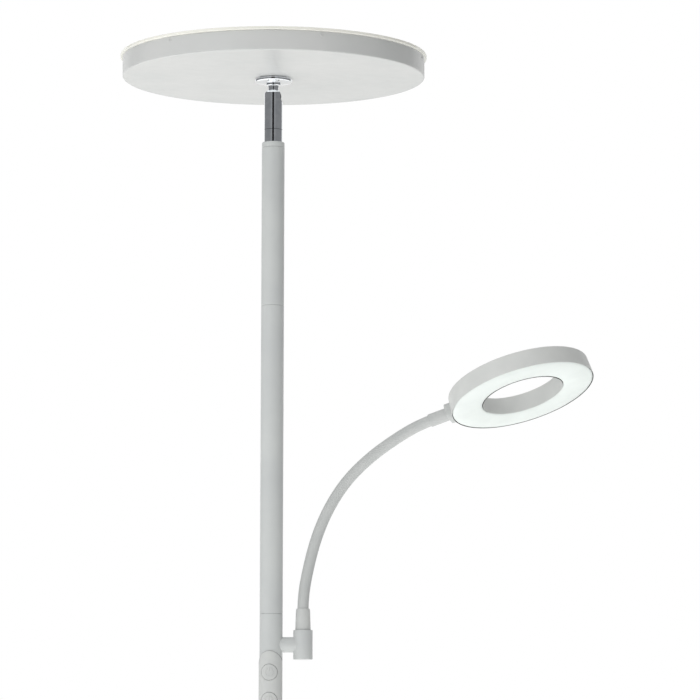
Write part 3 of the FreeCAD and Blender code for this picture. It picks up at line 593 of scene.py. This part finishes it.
def buildCap():
    r, low, top = inMm(capHigh.x), inMm(capLow.z) - swivel["seamDrop"], inMm(capHigh.z)
    s = socket
    mouthLow = ballLevel + math.sqrt(s["bore"] ** 2 - s["mouth"] ** 2)
    end = math.degrees(math.asin((mouthLow - ballLevel) / s["bore"]))
    profile = [(s["bore"], low), (r - swivel["edge"], low), (r, low + swivel["edge"]),
               (r, top - s["shoulder"])]
    for i in range(1, s["shoulderSteps"] + 1):  # rounded shoulder
        a = math.radians(90 * i / s["shoulderSteps"])
        inset = (r - s["mouth"] - s["mouthFlat"]) * (1 - math.cos(a))
        profile.append((r - inset, top - s["shoulder"] * (1 - math.sin(a))))
    profile += [(s["mouth"], top), (s["mouth"], mouthLow)]
    profile += arcPoints(0, ballLevel, s["bore"], end, 0, 6)[1:]
    obj = turnProfile("swivelCap", profile, swivel["segments"])
    half = swivel["slotHalf"]
    hole = barAlong("slotTool", half, (swivel["slotStart"], 0, ballLevel), (2 * r, 0, ballLevel),
                    swivel["slotSides"])
    combine(obj, hole, "DIFFERENCE")
    run = blockAt("slotTool", (2 * r, 2 * half, 2 * half),
                  (r + swivel["slotStart"], 0, ballLevel + half))
    combine(obj, run, "DIFFERENCE")
    # the socket's inside and the slot's walls are drawn dark as painted shade
    finishPiece(obj, chrome, "chrome", "swivel", "swivel_cap", smooth=30,
                inside=(oxideSteelAndPaintedShade, lambda c: c.z < top - 0.01 and fromAxis(c) < r - near
                        and (c.z < top - s["shoulder"] or fromAxis(c) < s["mouth"] + near)))


def buildSwivelBase():
    r, low = inMm(baseHigh.x), inMm(collarHigh.z) - swivel["collarDrop"]
    top, e = inMm(capLow.z) - swivel["seamDrop"] - swivel["seamGap"], swivel["edge"]
    bore, spigot, spigotTop = swivel["baseBore"], swivel["baseSpigot"], inMm(baseHigh.z)
    profile = [(bore, low), (r - e, low), (r, low + e), (r, top - e), (r - e, top), (spigot, top),
               (spigot, spigotTop), (bore, spigotTop)]
    obj = turnProfile("swivelBase", profile, swivel["segments"])
    finishPiece(obj, chrome, "chrome", "stand", "swivel_base", smooth=30)


buildFlange()
buildStud()
buildCap()
buildSwivelBase()
print("swivel made")


# pole

pole = {"wall": 1.2, "edge": 0.3, "seam": 0.14, "collarRound": 1.3, "collarBore": 5.05,
        "collarSpigot": 9.75, "holeReach": 20, "segments": 96}
tubeNames = ["lower_tube_1", "lower_tube_2", "lower_tube_3", "switch_tube", "middle_tube",
             "upper_tube"]
poleRadius = inMm(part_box("middle_tube")[1].x)
switch = {"turn": 8.0, "hole": 7.9, "stubHole": 5.05}
buttonNames = {"uplight_button": "uplightButton", "reading_button": "readingButton"}
buttonLevels = [middle(low.z, high.z) for low, high in map(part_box, buttonNames)]
frontTurn = Matrix.Rotation(math.radians(-switch["turn"]), 4, "Z")
stubLow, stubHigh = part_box("arm_stub")
stubLevel = middle(stubLow.z, stubHigh.z)


def buildTube(node):
    low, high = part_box(node)
    z, top, r, e = inMm(low.z), inMm(high.z), poleRadius, pole["edge"]
    if node == "upper_tube":
        top -= swivel["collarDrop"]
    top -= pole["seam"]
    inner = r - pole["wall"]
    profile = [(inner, z), (r - e, z), (r, z + e), (r, top - e), (r - e, top), (inner, top)]
    words = node.split("_")
    obj = turnProfile(words[0] + "".join(w.title() for w in words[1:]), profile, pole["segments"])
    if node == "switch_tube":
        reach = pole["holeReach"]
        for level in buttonLevels:
            tool = barAlong("holeTool", switch["hole"], (0, 0, level), (0, -reach, level))
            placeBy(tool, frontTurn)
            combine(obj, tool, "DIFFERENCE")
        tool = barAlong("holeTool", switch["stubHole"], (0, 0, stubLevel), (reach, 0, stubLevel))
        combine(obj, tool, "DIFFERENCE")
    finishPiece(obj, tubePaint, "tube_paint", "stand", node, smooth=25)


def buildCollar():
    low, high = inMm(collarLow.z), inMm(collarHigh.z) - swivel["collarDrop"]
    seam = inMm(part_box("upper_tube")[1].z) - swivel["collarDrop"]
    r, e, c = poleRadius, pole["edge"], pole["collarRound"]
    bore, spigot = pole["collarBore"], pole["collarSpigot"]
    profile = [(bore, low), (spigot, low), (spigot, seam), (r - e, seam), (r, seam + e)]
    profile += arcPoints(r - c, high - c, c, 0, 90, 6)
    profile += [(bore, high)]
    obj = turnProfile("poleCollar", profile, pole["segments"])
    finishPiece(obj, tubePaint, "tube_paint", "stand", "pole_collar", smooth=25)


for node in tubeNames:
    buildTube(node)
buildCollar()
print("pole made")


# switch cover and buttons

cover = {"half": 11.3, "edge": 0.18, "rise": 0.75, "inside": 0.05, "paintedShadowLine": 0.25,
         "shadowLineRise": 0.22, "shadowLineInside": 0.02, "beyond": 1, "skinSides": 160}
# the cutting shapes end at depths and have side counts of their own, so that no faces coincide
cutter = {"outline": (-1.7, -31.3), "outlineSides": 98, "hole": (-2.3, -21.1), "holeSides": 74}
symbol = {"ring": 3.7, "bar": 0.5, "rise": 0.42, "gap": (3.2, 30, 4), "gapDepth": -15,
          "barHeight": 3.4, "barDrop": 0.9, "back": 6, "reach": 9, "sides": 56}
button = {"proud": 0.4, "back": -6.9, "front": -20, "faceRim": 0.5, "reach": 12, "sides": 72,
          "stem": 2.0, "stemEnds": (-4.4, -7.5), "stemSides": 32}


def uprightBar(name, radius, low, high, segments=128):  # on the pole's axis
    return barAlong(name, radius, (0, 0, low), (0, 0, high), segments)


def frontBar(name, radius, level, ends, sides):  # from the pole's axis towards the front
    start, end = ends
    return barAlong(name, radius, (0, start, level), (0, end, level), sides)


def stadiumPrism(half, low, high):  # a round bar whose upper half is moved up
    level = low + half
    prism = frontBar("stadium", half, level, cutter["outline"], cutter["outlineSides"])
    corners = prism.data.vertices
    pickIn(prism, "EDGE", lambda edge: min(corners[v].co.z for v in edge.vertices) > mm(level + 0.01))
    bpy.ops.transform.translate(value=(0, 0, mm(high - low - 2 * half)))
    leaveEdit()
    return prism


def coverSkin(name, inside, rise, half, low, high):
    # a curved plate over the pole with both button holes
    inner, outer, beyond = poleRadius + inside, poleRadius + rise, cover["beyond"]
    skin = turnProfile(name, [(inner, low - beyond), (outer, low - beyond), (outer, high + beyond),
                              (inner, high + beyond)], cover["skinSides"])
    combine(skin, stadiumPrism(half, low, high), "INTERSECT")
    for level in buttonLevels:
        hole = frontBar("holeTool", switch["hole"], level, cutter["hole"], cutter["holeSides"])
        combine(skin, hole, "DIFFERENCE")
    return skin


def buildSwitchCover():
    low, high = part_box("switch_cover")
    z, top, g = inMm(low.z), inMm(high.z), cover["paintedShadowLine"]
    # a thin grey band just wider than the cover, the painted shadow line of the gap round its edge
    shadowLineBand = coverSkin("switchShadowLine", cover["shadowLineInside"], cover["shadowLineRise"], cover["half"] + g, z, top)
    placeBy(shadowLineBand, frontTurn)
    finishPiece(shadowLineBand, paintedShadowLine, "black_rubber", "stand", smooth=30)
    obj = coverSkin("switchCover", cover["inside"], cover["rise"], cover["half"], z + g, top - g)
    bevelEdges(obj, cover["edge"], 3, angle=40)
    placeBy(obj, frontTurn)
    finishPiece(obj, absPlastic, "switch_plastic", "stand", "switch_cover", smooth=30)


def powerSymbol(level, face):
    # a ring with a gap at its top and a bar in the gap, standing a little off the cap
    r, w, back, reach = symbol["ring"], symbol["bar"], symbol["back"], symbol["reach"]
    mark = frontBar("mark", r + w, level, (-back, -face - 2), symbol["sides"])
    combine(mark, frontBar("core", r - w, level, (0, button["front"]), symbol["sides"]), "DIFFERENCE")
    combine(mark, blockAt("gap", symbol["gap"], (0, symbol["gapDepth"], level + r)), "DIFFERENCE")
    deep = face - 4
    bar = blockAt("bar", (2 * w, deep, symbol["barHeight"]),
                  (0, -back - deep / 2, level + r - symbol["barDrop"]))
    combine(mark, bar, "UNION")
    skin = uprightBar("skin", face + symbol["rise"], level - reach, level + reach)
    combine(mark, skin, "INTERSECT")
    return mark


def buildButton(node, name, level):
    low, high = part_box(node)
    radius, reach = (high.z - low.z) * 500, button["reach"]
    face = poleRadius + cover["rise"] + button["proud"]
    cap = frontBar(name, radius, level, (button["back"], button["front"]), button["sides"])
    combine(cap, uprightBar("skin", face, level - reach, level + reach), "INTERSECT")
    bevelEdges(cap, button["faceRim"], 3, angle=40)
    combine(cap, powerSymbol(level, face), "UNION")
    combine(cap, frontBar("stem", button["stem"], level, button["stemEnds"], button["stemSides"]), "UNION")
    placeBy(cap, frontTurn)
    finishPiece(cap, absPlastic, "switch_plastic", node, node, smooth=30)


buildSwitchCover()
for (node, name), level in zip(buttonNames.items(), buttonLevels):
    buildButton(node, name, level)
print("switch made")


# reading arm: stub, cup, ferrule

arm = {"stub": 7.4, "stubStart": 4, "stubSides": 96, "stubEdge": 0.2, "seat": 0.02, "reach": 20,
       "seatSides": 128, "edge": 0.35, "cupCentre": 1, "cupBore": 5, "cupFloor": 3,
       "sleeve": 5.35, "sleeveSegments": 64, "tuck": 8, "segments": 96}
lowerFerrule = {"radius": 7.4, "top": 6.7, "height": 18.6, "shoulder": 2.0, "shoulderSteps": 8,
                "edge": 0.3, "topFlare": 0.1, "topDrop": 0.7, "spigot": 4.9, "wireBore": 2.4,
                "mouth": 5.42, "mouthRound": 5.75, "depth": 8}
cupLow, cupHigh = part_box("arm_cup")
cupX = middle(cupLow.x, cupHigh.x)
cupRadius = (cupHigh.x - cupLow.x) * 500
ontoCup = Matrix.Translation((mm(cupX), 0, 0))


def buildStub():
    low, high = stubLevel - arm["reach"], stubLevel + arm["reach"]
    obj = barAlong("armStub", arm["stub"], (arm["stubStart"], 0, stubLevel), (cupX, 0, stubLevel),
                   arm["stubSides"])
    combine(obj, uprightBar("poleTool", poleRadius + arm["seat"], low, high), "DIFFERENCE")
    tool = barAlong("cupTool", cupRadius - arm["seat"], (cupX, 0, low), (cupX, 0, high), arm["seatSides"])
    combine(obj, tool, "DIFFERENCE")
    bevelEdges(obj, arm["stubEdge"], 2, angle=30)
    finishPiece(obj, tubePaint, "tube_paint", "stand", "arm_stub", smooth=25)


def buildCup():
    z, top, r, e = inMm(cupLow.z), inMm(cupHigh.z), cupRadius, arm["edge"]
    centre, bore, floor = arm["cupCentre"], arm["cupBore"], z + arm["cupFloor"]
    profile = [(centre, z), (r - e, z)] + arcPoints(r - e, z + e, e, -90, 0, 4)[1:]
    profile += arcPoints(r - e, top - e, e, 0, 90, 4)
    profile += [(bore, top), (bore, floor), (centre, floor)]
    obj = turnProfile("armCup", profile, arm["segments"], closed=False)
    placeBy(obj, ontoCup)
    finishPiece(obj, tubePaint, "tube_paint", "stand", "arm_cup", smooth=25)


def buildLowerFerrule():
    f = lowerFerrule
    low, z = inMm(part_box("lower_ferrule")[0].z), inMm(cupHigh.z)
    top = z + f["height"]
    end = top + f["shoulder"]
    r, tr, e, wire, spigot = f["radius"], f["top"], f["edge"], f["wireBore"], f["spigot"]
    profile = [(wire, low), (spigot, low), (spigot, z), (r - e, z), (r, z + e),
               (tr + f["topFlare"], top - f["topDrop"])]
    for i in range(1, f["shoulderSteps"] + 1):  # rounded shoulder down to the sleeve
        a = math.radians(90 * i / f["shoulderSteps"])
        profile.append((f["mouthRound"] + (tr - f["mouthRound"]) * math.cos(a),
                        top + (end - top) * math.sin(a)))
    profile += [(f["mouth"], end), (f["mouth"], top - f["depth"]), (wire, top - f["depth"])]
    obj = turnProfile("lowerFerrule", profile, arm["segments"])
    placeBy(obj, ontoCup)
    finishPiece(obj, absPlastic, "arm_plastic", "stand", "lower_ferrule", smooth=25)


buildStub()
buildCup()
buildLowerFerrule()
print("arm bracket made")


# flexible arm

neckJoints = []
body = "stand"
while body != "neck_8":  # the hinges in order, from the pole outwards
    following = [joint for joint in frame["joints"]
                 if joint["parent"] == body and joint["name"].startswith("neck_")][0]
    neckJoints.append(following)
    body = following["child"]
twist = joints["reading_head_twist"]
bendAxis = Vector(joints["neck_bend"]["axis"]).normalized()
neckStart = Vector((mm(cupX), 0, cupHigh.z + mm(lowerFerrule["height"])))
neckPoints = [neckStart] + [Vector(joint["pos_m"]) for joint in neckJoints]
neckPoints.append(Vector(twist["pos_m"]))
armOut = bendAxis.cross(Vector((0, 0, 1)))


def armDirection(lean):
    return armOut * math.sin(lean) + Vector((0, 0, 1)) * math.cos(lean)


def armNormal(lean):  # square to the arm, on the outside of its bend
    return Vector((0, 0, 1)) * math.sin(lean) - armOut * math.cos(lean)


leans = [0.0]  # each length is an arc that starts where the last one ended
for a, b in zip(neckPoints, neckPoints[1:]):
    chord = b - a
    chordLean = math.atan2(chord.dot(armOut), chord.z)
    leans.append(2 * chordLean - leans[-1])


def arcCentre(i):
    chord = neckPoints[i + 1] - neckPoints[i]
    turn = leans[i + 1] - leans[i]
    radius = chord.length / 2 / math.sin(turn / 2)
    return neckPoints[i] - armNormal(leans[i]) * radius


def pointAlong(i, share):  # on the centre line of length i
    turn = (leans[i + 1] - leans[i]) * share
    centre = arcCentre(i)
    return centre + Matrix.Rotation(turn, 3, bendAxis) @ (neckPoints[i] - centre)


def spinOn(i, fromShare, toShare, steps=10):
    turn = (leans[i + 1] - leans[i]) * (toShare - fromShare)
    bpy.ops.mesh.spin(steps=steps, angle=-turn, center=arcCentre(i), axis=bendAxis)


def buildSleeve(i):
    # from the middle of length i, over the joint, to the middle of the next length
    first, last = i == 0, i == len(neckJoints) - 1
    lean = leans[i] + (0 if first else (leans[i + 1] - leans[i]) / 2)
    start = neckStart - Vector((0, 0, mm(arm["tuck"]))) if first else pointAlong(i, 0.5)
    deselectAll()
    bpy.ops.mesh.primitive_circle_add(vertices=arm["sleeveSegments"], radius=mm(arm["sleeve"]))
    obj = bpy.context.object
    obj.name = "armSleeve%d" % (i + 1)
    along, out = armDirection(lean), armNormal(lean)
    turn = Matrix((out, along.cross(out), along)).transposed().to_4x4()
    placeBy(obj, Matrix.Translation(start) @ turn)
    bpy.ops.object.mode_set(mode="EDIT")
    bpy.ops.mesh.select_all(action="SELECT")
    if first:
        bpy.ops.mesh.extrude_edges_move(TRANSFORM_OT_translate={"value": (0, 0, mm(arm["tuck"]))})
    spinOn(i, 0 if first else 0.5, 1)
    spinOn(i + 1, 0, 1 if last else 0.5)
    if last:
        step = armDirection(leans[-1]) * mm(arm["tuck"])
        bpy.ops.mesh.extrude_edges_move(TRANSFORM_OT_translate={"value": step})
    closeSkin(fillEnds=True)
    links = ["neck_link_%d" % (i + 1)] + (["neck_link_%d" % (i + 2)] if last else [])
    finishPiece(obj, sleevePvc, "flexible_arm", None, *links, smooth=40)
    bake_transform(obj)


for i in range(len(neckJoints)):
    buildSleeve(i)
print("flexible arm made")


# ring-shaped reading head

ring = {"reach": 90.0, "radius": 70.0, "hole": 39.0, "thickness": 18.0, "draft": 1.2, "edge": 1.6,
        "rimEdge": 0.3, "wall": 2.0, "lip": 0.45, "lipEdge": 0.15, "groove": 0.6, "lipDepth": 2.5,
        "boardTop": 12.1, "boardLedge": 1.4, "inGroove": 0.2, "roll": 11.5, "segments": 160}
# crown: how far the cover bulges, flattened in its middle by a power under 1
lens = {"crown": 1.4, "power": 0.8, "faceSteps": 24, "rim": 0.45, "sink": 0.2, "play": 0.05,
        "wall": 2.2, "backSink": 0.6, "backSteps": 8}
ferrule = {"radius": 6.3, "lead": 3.0, "end": 15.8, "bore": 5.45, "depth": 9.1, "wireBore": 2.4,
           "round": 0.7, "roundStart": 1.2}
boss = {"width": 24.0, "height": 15.0, "thickness": 4.2, "corner": 5.0, "edge": 1.0, "intoRing": 6,
        "cutIn": 0.05, "cutOut": 0.13, "cutBeyond": 2}
armEnd = neckPoints[-1]
endAlong = armDirection(leans[-1])
rollAngle = math.radians(ring["roll"])
ringBack = armNormal(leans[-1]) * math.cos(rollAngle) + bendAxis * math.sin(rollAngle)
ringCentre = armEnd + endAlong * mm(ring["reach"]) - ringBack * mm(ring["thickness"] / 2)
ringTurn = Matrix((endAlong, ringBack.cross(endAlong), ringBack)).transposed().to_4x4()
ringPlace = Matrix.Translation(ringCentre) @ ringTurn
endTurn = Matrix((armNormal(leans[-1]), endAlong.cross(armNormal(leans[-1])), endAlong))
endPlace = Matrix.Translation(armEnd) @ endTurn.transposed().to_4x4()


def buildUpperFerrule():
    f = ferrule
    r, end, wire, lead, c = f["radius"], f["end"], f["wireBore"], f["lead"], f["round"]
    profile = [(wire, f["depth"]), (wire, end), (r, end), (r, -lead + f["roundStart"])]
    profile += arcPoints(r - c, -lead + c, c, 20, -90, 5)
    profile += [(f["bore"], -lead), (f["bore"], f["depth"])]
    obj = turnProfile("upperFerrule", profile, arm["segments"])
    placeBy(obj, endPlace)
    finishPiece(obj, ferrulePlastic, "arm_plastic", "reading_head", "upper_ferrule", smooth=25)


def buildBoss():
    b, level = boss, ring["thickness"] / 2
    face, long = -ring["radius"] - b["thickness"], b["thickness"] + b["intoRing"]
    obj = blockAt("ringBoss", (long, b["width"], b["height"]), (face + long / 2, 0, level))
    corners = obj.data.vertices
    pickIn(obj, "EDGE", lambda edge: abs(corners[edge.vertices[0]].co.x
                                         - corners[edge.vertices[1]].co.x) > mm(1))
    bpy.ops.mesh.bevel(offset=mm(b["corner"]), segments=10, affect="EDGES")
    leaveEdit()
    bevelEdges(obj, b["edge"], 4, angle=60)
    # cut to the ring's wall, a hair inside it so that no gap shows
    front, back = ring["radius"] - b["cutIn"], ring["radius"] - ring["draft"] - b["cutIn"]
    tool = turnProfile("ringTool", [(front + b["cutOut"], -b["cutBeyond"]),
                                    (back - b["cutOut"], ring["thickness"] + b["cutBeyond"])],
                       ring["segments"], closed=False)
    combine(obj, tool, "DIFFERENCE")
    placeBy(obj, ringPlace)
    finishPiece(obj, ferrulePlastic, "arm_plastic", "reading_head", "ring_boss", smooth=30)


def buildRingHousing():
    g = ring
    h, e, w, r, hole, u = g["thickness"], g["edge"], g["wall"], g["radius"], g["hole"], g["rimEdge"]
    outBack, inBack = r - g["draft"], hole + g["draft"]
    outLip, inLip, lipEdge, depth = r - g["lip"], hole + g["lip"], g["lipEdge"], g["lipDepth"]
    board, ledge = g["boardTop"], w + g["boardLedge"]
    profile = [(outLip, lipEdge), (outLip + lipEdge, 0), (r - u, 0), (r, u)]
    profile += arcPoints(outBack - e, h - e, e, 4, 90, 6)
    profile += [((outBack + inBack) / 2, h)]
    profile += arcPoints(inBack + e, h - e, e, 90, 176, 6)
    profile += [(hole, u), (hole + u, 0), (inLip - lipEdge, 0), (inLip, lipEdge), (inLip, depth),
                (hole + w, depth), (hole + w, board), (hole + ledge, board), (hole + ledge, h - w),
                (r - ledge, h - w), (r - ledge, board), (r - w, board), (r - w, depth), (outLip, depth)]
    obj = turnProfile("ringHousing", profile, g["segments"])
    placeBy(obj, ringPlace)
    back = ringPlace.inverted()

    def inGroove(centre):  # the groove round the cover is drawn grey, a painted shadow line
        place = back @ mm(centre)
        return (near < inMm(place.z) < depth + 0.1
                and hole + g["inGroove"] < inMm(fromAxis(place)) < r - g["inGroove"])

    finishPiece(obj, ringAbs, "ring_plastic", "reading_head", "ring_housing", smooth=25,
                inside=(paintedShadowLine, inGroove))


def buildRingDiffuser():
    g, c = ring, lens
    out, into = g["radius"] - g["lip"] - g["groove"], g["hole"] + g["lip"] + g["groove"]
    top, middleRadius, half = g["lipDepth"] - c["play"], (out + into) / 2, (out - into) / 2
    wall, rim = c["wall"], c["rim"]
    profile = [(into, top), (into, rim)]
    for i in range(1, c["faceSteps"]):  # crowned face, rounded at both rims
        share = -1 + 2 * i / c["faceSteps"]
        bulge = (c["crown"] + c["sink"]) * (1 - share ** 2) ** c["power"]
        profile.append((middleRadius + half * share, c["sink"] - bulge))
    profile += [(out, rim), (out, top), (out - wall, top)]
    for i in range(1, c["backSteps"]):
        share = 1 - 2 * i / c["backSteps"]
        bulge = (c["crown"] + c["backSink"]) * (1 - share ** 2)
        profile.append((middleRadius + (half - wall) * share, top - bulge))
    profile += [(into + wall, top)]
    obj = turnProfile("ringDiffuser", profile, g["segments"])
    placeBy(obj, ringPlace)
    finishPiece(obj, polycarbonate, "opal_polycarbonate", "reading_head", "ring_diffuser", smooth=40)


buildUpperFerrule()
buildBoss()
buildRingHousing()
buildRingDiffuser()
print("reading head made")


# base

base = {"wall": 1.0, "edge": 3.5, "bore": 5.05, "topRings": (60, 110), "rimEdge": 0.2, "inlet": 4.8,
        "inletReach": 8, "inletSides": 48, "segments": 192}
foot = {"inner": 11.02, "top": 13.5, "topRound": 1, "rim": 3.0, "rimRound": 0.5, "rimIn": 0.3,
        "sweepDrop": 4, "sweepSteps": 8, "segments": 96}
coverLow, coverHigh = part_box("base_cover")
footLow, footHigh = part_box("foot_collar")
grommetLow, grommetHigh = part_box("cord_grommet")


def buildBaseCover():
    r, top, low = inMm(coverHigh.x), inMm(coverHigh.z), inMm(coverLow.z)
    t, e, bore, u = base["wall"], base["edge"], base["bore"], base["rimEdge"]
    profile = [(bore, top)] + [(ring, top) for ring in base["topRings"]] + [(r - e, top)]
    profile += arcPoints(r - e, top - e, e, 90, 0, 8)[1:]
    profile += [(r, low + u), (r - u, low), (r - t, low)]
    profile += arcPoints(r - e, top - e, e - t, 0, 90, 6)
    profile += [(bore, top - t)]
    obj = turnProfile("baseCover", profile, base["segments"])
    level, reach = middle(grommetLow.z, grommetHigh.z), base["inletReach"]
    tool = barAlong("inletTool", base["inlet"], (0, r - reach, level), (0, r + reach, level),
                    base["inletSides"])
    combine(obj, tool, "DIFFERENCE")
    finishPiece(obj, basePaintWithPaintedLight, "base_paint", "stand", "base_cover", smooth=25)


def buildFootCollar():
    z, top, r = inMm(footLow.z), inMm(footHigh.z), inMm(footHigh.x)
    f = foot
    c, sweepEnd = f["topRound"], r - f["rimIn"]
    profile = [(f["inner"], z), (r, z), (r, z + f["rim"] - f["rimRound"]), (sweepEnd, z + f["rim"])]
    for i in range(1, f["sweepSteps"] + 1):  # concave sweep up to the tube
        a = math.radians(90 * i / f["sweepSteps"])
        profile.append((sweepEnd - (sweepEnd - f["top"]) * math.sin(a),
                        z + f["rim"] + (top - f["sweepDrop"] - z - f["rim"]) * (1 - math.cos(a))))
    profile += arcPoints(f["top"] - c, top - c, c, 0, 90, 4)
    profile += [(f["inner"], top)]
    obj = turnProfile("footCollar", profile, f["segments"])
    finishPiece(obj, basePaintWithPaintedLight, "base_paint", "stand", "foot_collar", smooth=30)


buildBaseCover()
buildFootCollar()
print("base made")


# floor and light

# floor: pale matt paint with the drift of a roller
floorPaint = {"light": "#f2f2f0", "dark": "#eeeeec", "cloud": 700, "rough": (0.7, 0.8), "patch": 400,
              "ior": 1.4, "size": 60.0, "lift": 0.52}
sky = {"strength": 0.43, "seen": 1.0}
lights = {
    "keyLight": {"power": 36.0, "size": 2.2, "from": (-2.4, -3.2, 1.9), "aim": (0.1, 0.0, 1.5),
                 "mirrored": False},
    "lowLight": {"power": 148.0, "size": 8.0, "from": (-2.0, -0.8, 0.04), "aim": (-2.0, -0.8, 2.0),
                 "mirrored": True},
    "topLight": {"power": 20.0, "size": 3.0, "from": (-0.5, -0.6, 3.4), "aim": (0.0, 0.0, 0.0),
                 "mirrored": False},
}
# upright curved cards round the lamp, angles from -Y towards +X
cards = {
    "greyCard": {"radius": 6.0, "from": -140, "to": 134, "grey": 0.24},
    "paleStrip": {"radius": 5.8, "from": -34.0, "to": 26.0, "grey": 0.31},
    "darkStrip": {"radius": 5.6, "from": -14.0, "to": 11.0, "grey": 0.02},
}
cardShape = {"low": -3.0, "high": 7.0, "sides": 180, "tint": (1, 1.02, 1.05)}


def seenDirectly(tree, hidden, shown):  # one value for the eye, mirrors and glass, one for light
    path = addNode(tree, "ShaderNodeLightPath").outputs
    seen = addNode(tree, "ShaderNodeMath", {0: path["Is Camera Ray"], 1: path["Is Glossy Ray"]},
                   operation="MAXIMUM")
    seen = addNode(tree, "ShaderNodeMath", {0: seen.outputs[0], 1: path["Is Transmission Ray"]},
                   operation="MAXIMUM")
    value = addNode(tree, "ShaderNodeMapRange", {"Value": seen.outputs[0], "To Min": hidden,
                                                 "To Max": shown})
    return value.outputs["Result"]


def addFloor():
    look = floorPaint
    deselectAll()
    bpy.ops.mesh.primitive_plane_add(size=look["size"])
    obj = bpy.context.object
    obj.name = "studioFloor"
    material, tree, place = newMaterial("paintedFloor")
    colour = mottled(tree, place, look)
    endMaterial(tree, {"Base Color": colour, "Roughness": uneven(tree, place, look), "IOR": look["ior"],
                       "Emission Color": colour, "Emission Strength": seenDirectly(tree, 0.0, look["lift"])})
    obj.data.materials.append(material)


def addSoftLight(name, look):
    data = bpy.data.lights.new(name, "AREA")
    data.energy, data.size = look["power"], look["size"]
    obj = bpy.data.objects.new(name, data)
    bpy.context.scene.collection.objects.link(obj)
    obj.location = look["from"]
    obj.rotation_mode = "QUATERNION"
    obj.rotation_quaternion = (Vector(look["aim"]) - Vector(look["from"])).to_track_quat("-Z", "Y")
    obj.visible_camera = False
    obj.visible_glossy = look["mirrored"]


def addCard(name, look):  # only mirror-like surfaces see it
    low, high, grey = cardShape["low"], cardShape["high"], look["grey"]
    deselectAll()
    bpy.ops.mesh.primitive_cylinder_add(vertices=cardShape["sides"], radius=look["radius"],
                                        end_fill_type="NOTHING", depth=high - low,
                                        location=(0, 0, (high + low) / 2))
    obj = bpy.context.object
    obj.name = name
    applyPlace(obj)
    pickIn(obj, "FACE", lambda face: not look["from"] <= math.degrees(
        math.atan2(face.center.x, -face.center.y)) <= look["to"])
    bpy.ops.mesh.delete(type="FACE")
    leaveEdit()
    material = bpy.data.materials.new(name + "Grey")
    material.use_nodes = True
    tree = material.node_tree
    tree.nodes.clear()
    glow = addNode(tree, "ShaderNodeEmission", {"Color": (*[grey * share for share in cardShape["tint"]], 1)})
    addNode(tree, "ShaderNodeOutputMaterial", {"Surface": glow.outputs["Emission"]})
    obj.data.materials.append(material)
    for kind in ("camera", "diffuse", "transmission", "volume_scatter", "shadow"):
        setattr(obj, "visible_" + kind, False)


def setWorld():
    world = bpy.data.worlds.new("studio")
    bpy.context.scene.world = world
    world.use_nodes = True
    tree = world.node_tree
    tree.nodes.clear()
    strength = seenDirectly(tree, sky["strength"], sky["seen"])
    light = addNode(tree, "ShaderNodeBackground", {"Color": (1, 1, 1, 1), "Strength": strength})
    addNode(tree, "ShaderNodeOutputWorld", {"Surface": light.outputs["Background"]})


addFloor()
for name, look in lights.items():
    addSoftLight(name, look)
for name, look in cards.items():
    addCard(name, look)
setWorld()
for piece in bpy.data.objects:  # the swivel mirrors the studio and not the pan over it
    if piece.name in ("uplightPan", "uplightDiffuser") or piece.name in cadFinish:
        piece.visible_glossy = False
bpy.context.scene.view_settings.view_transform = "Standard"

print("scene ready")
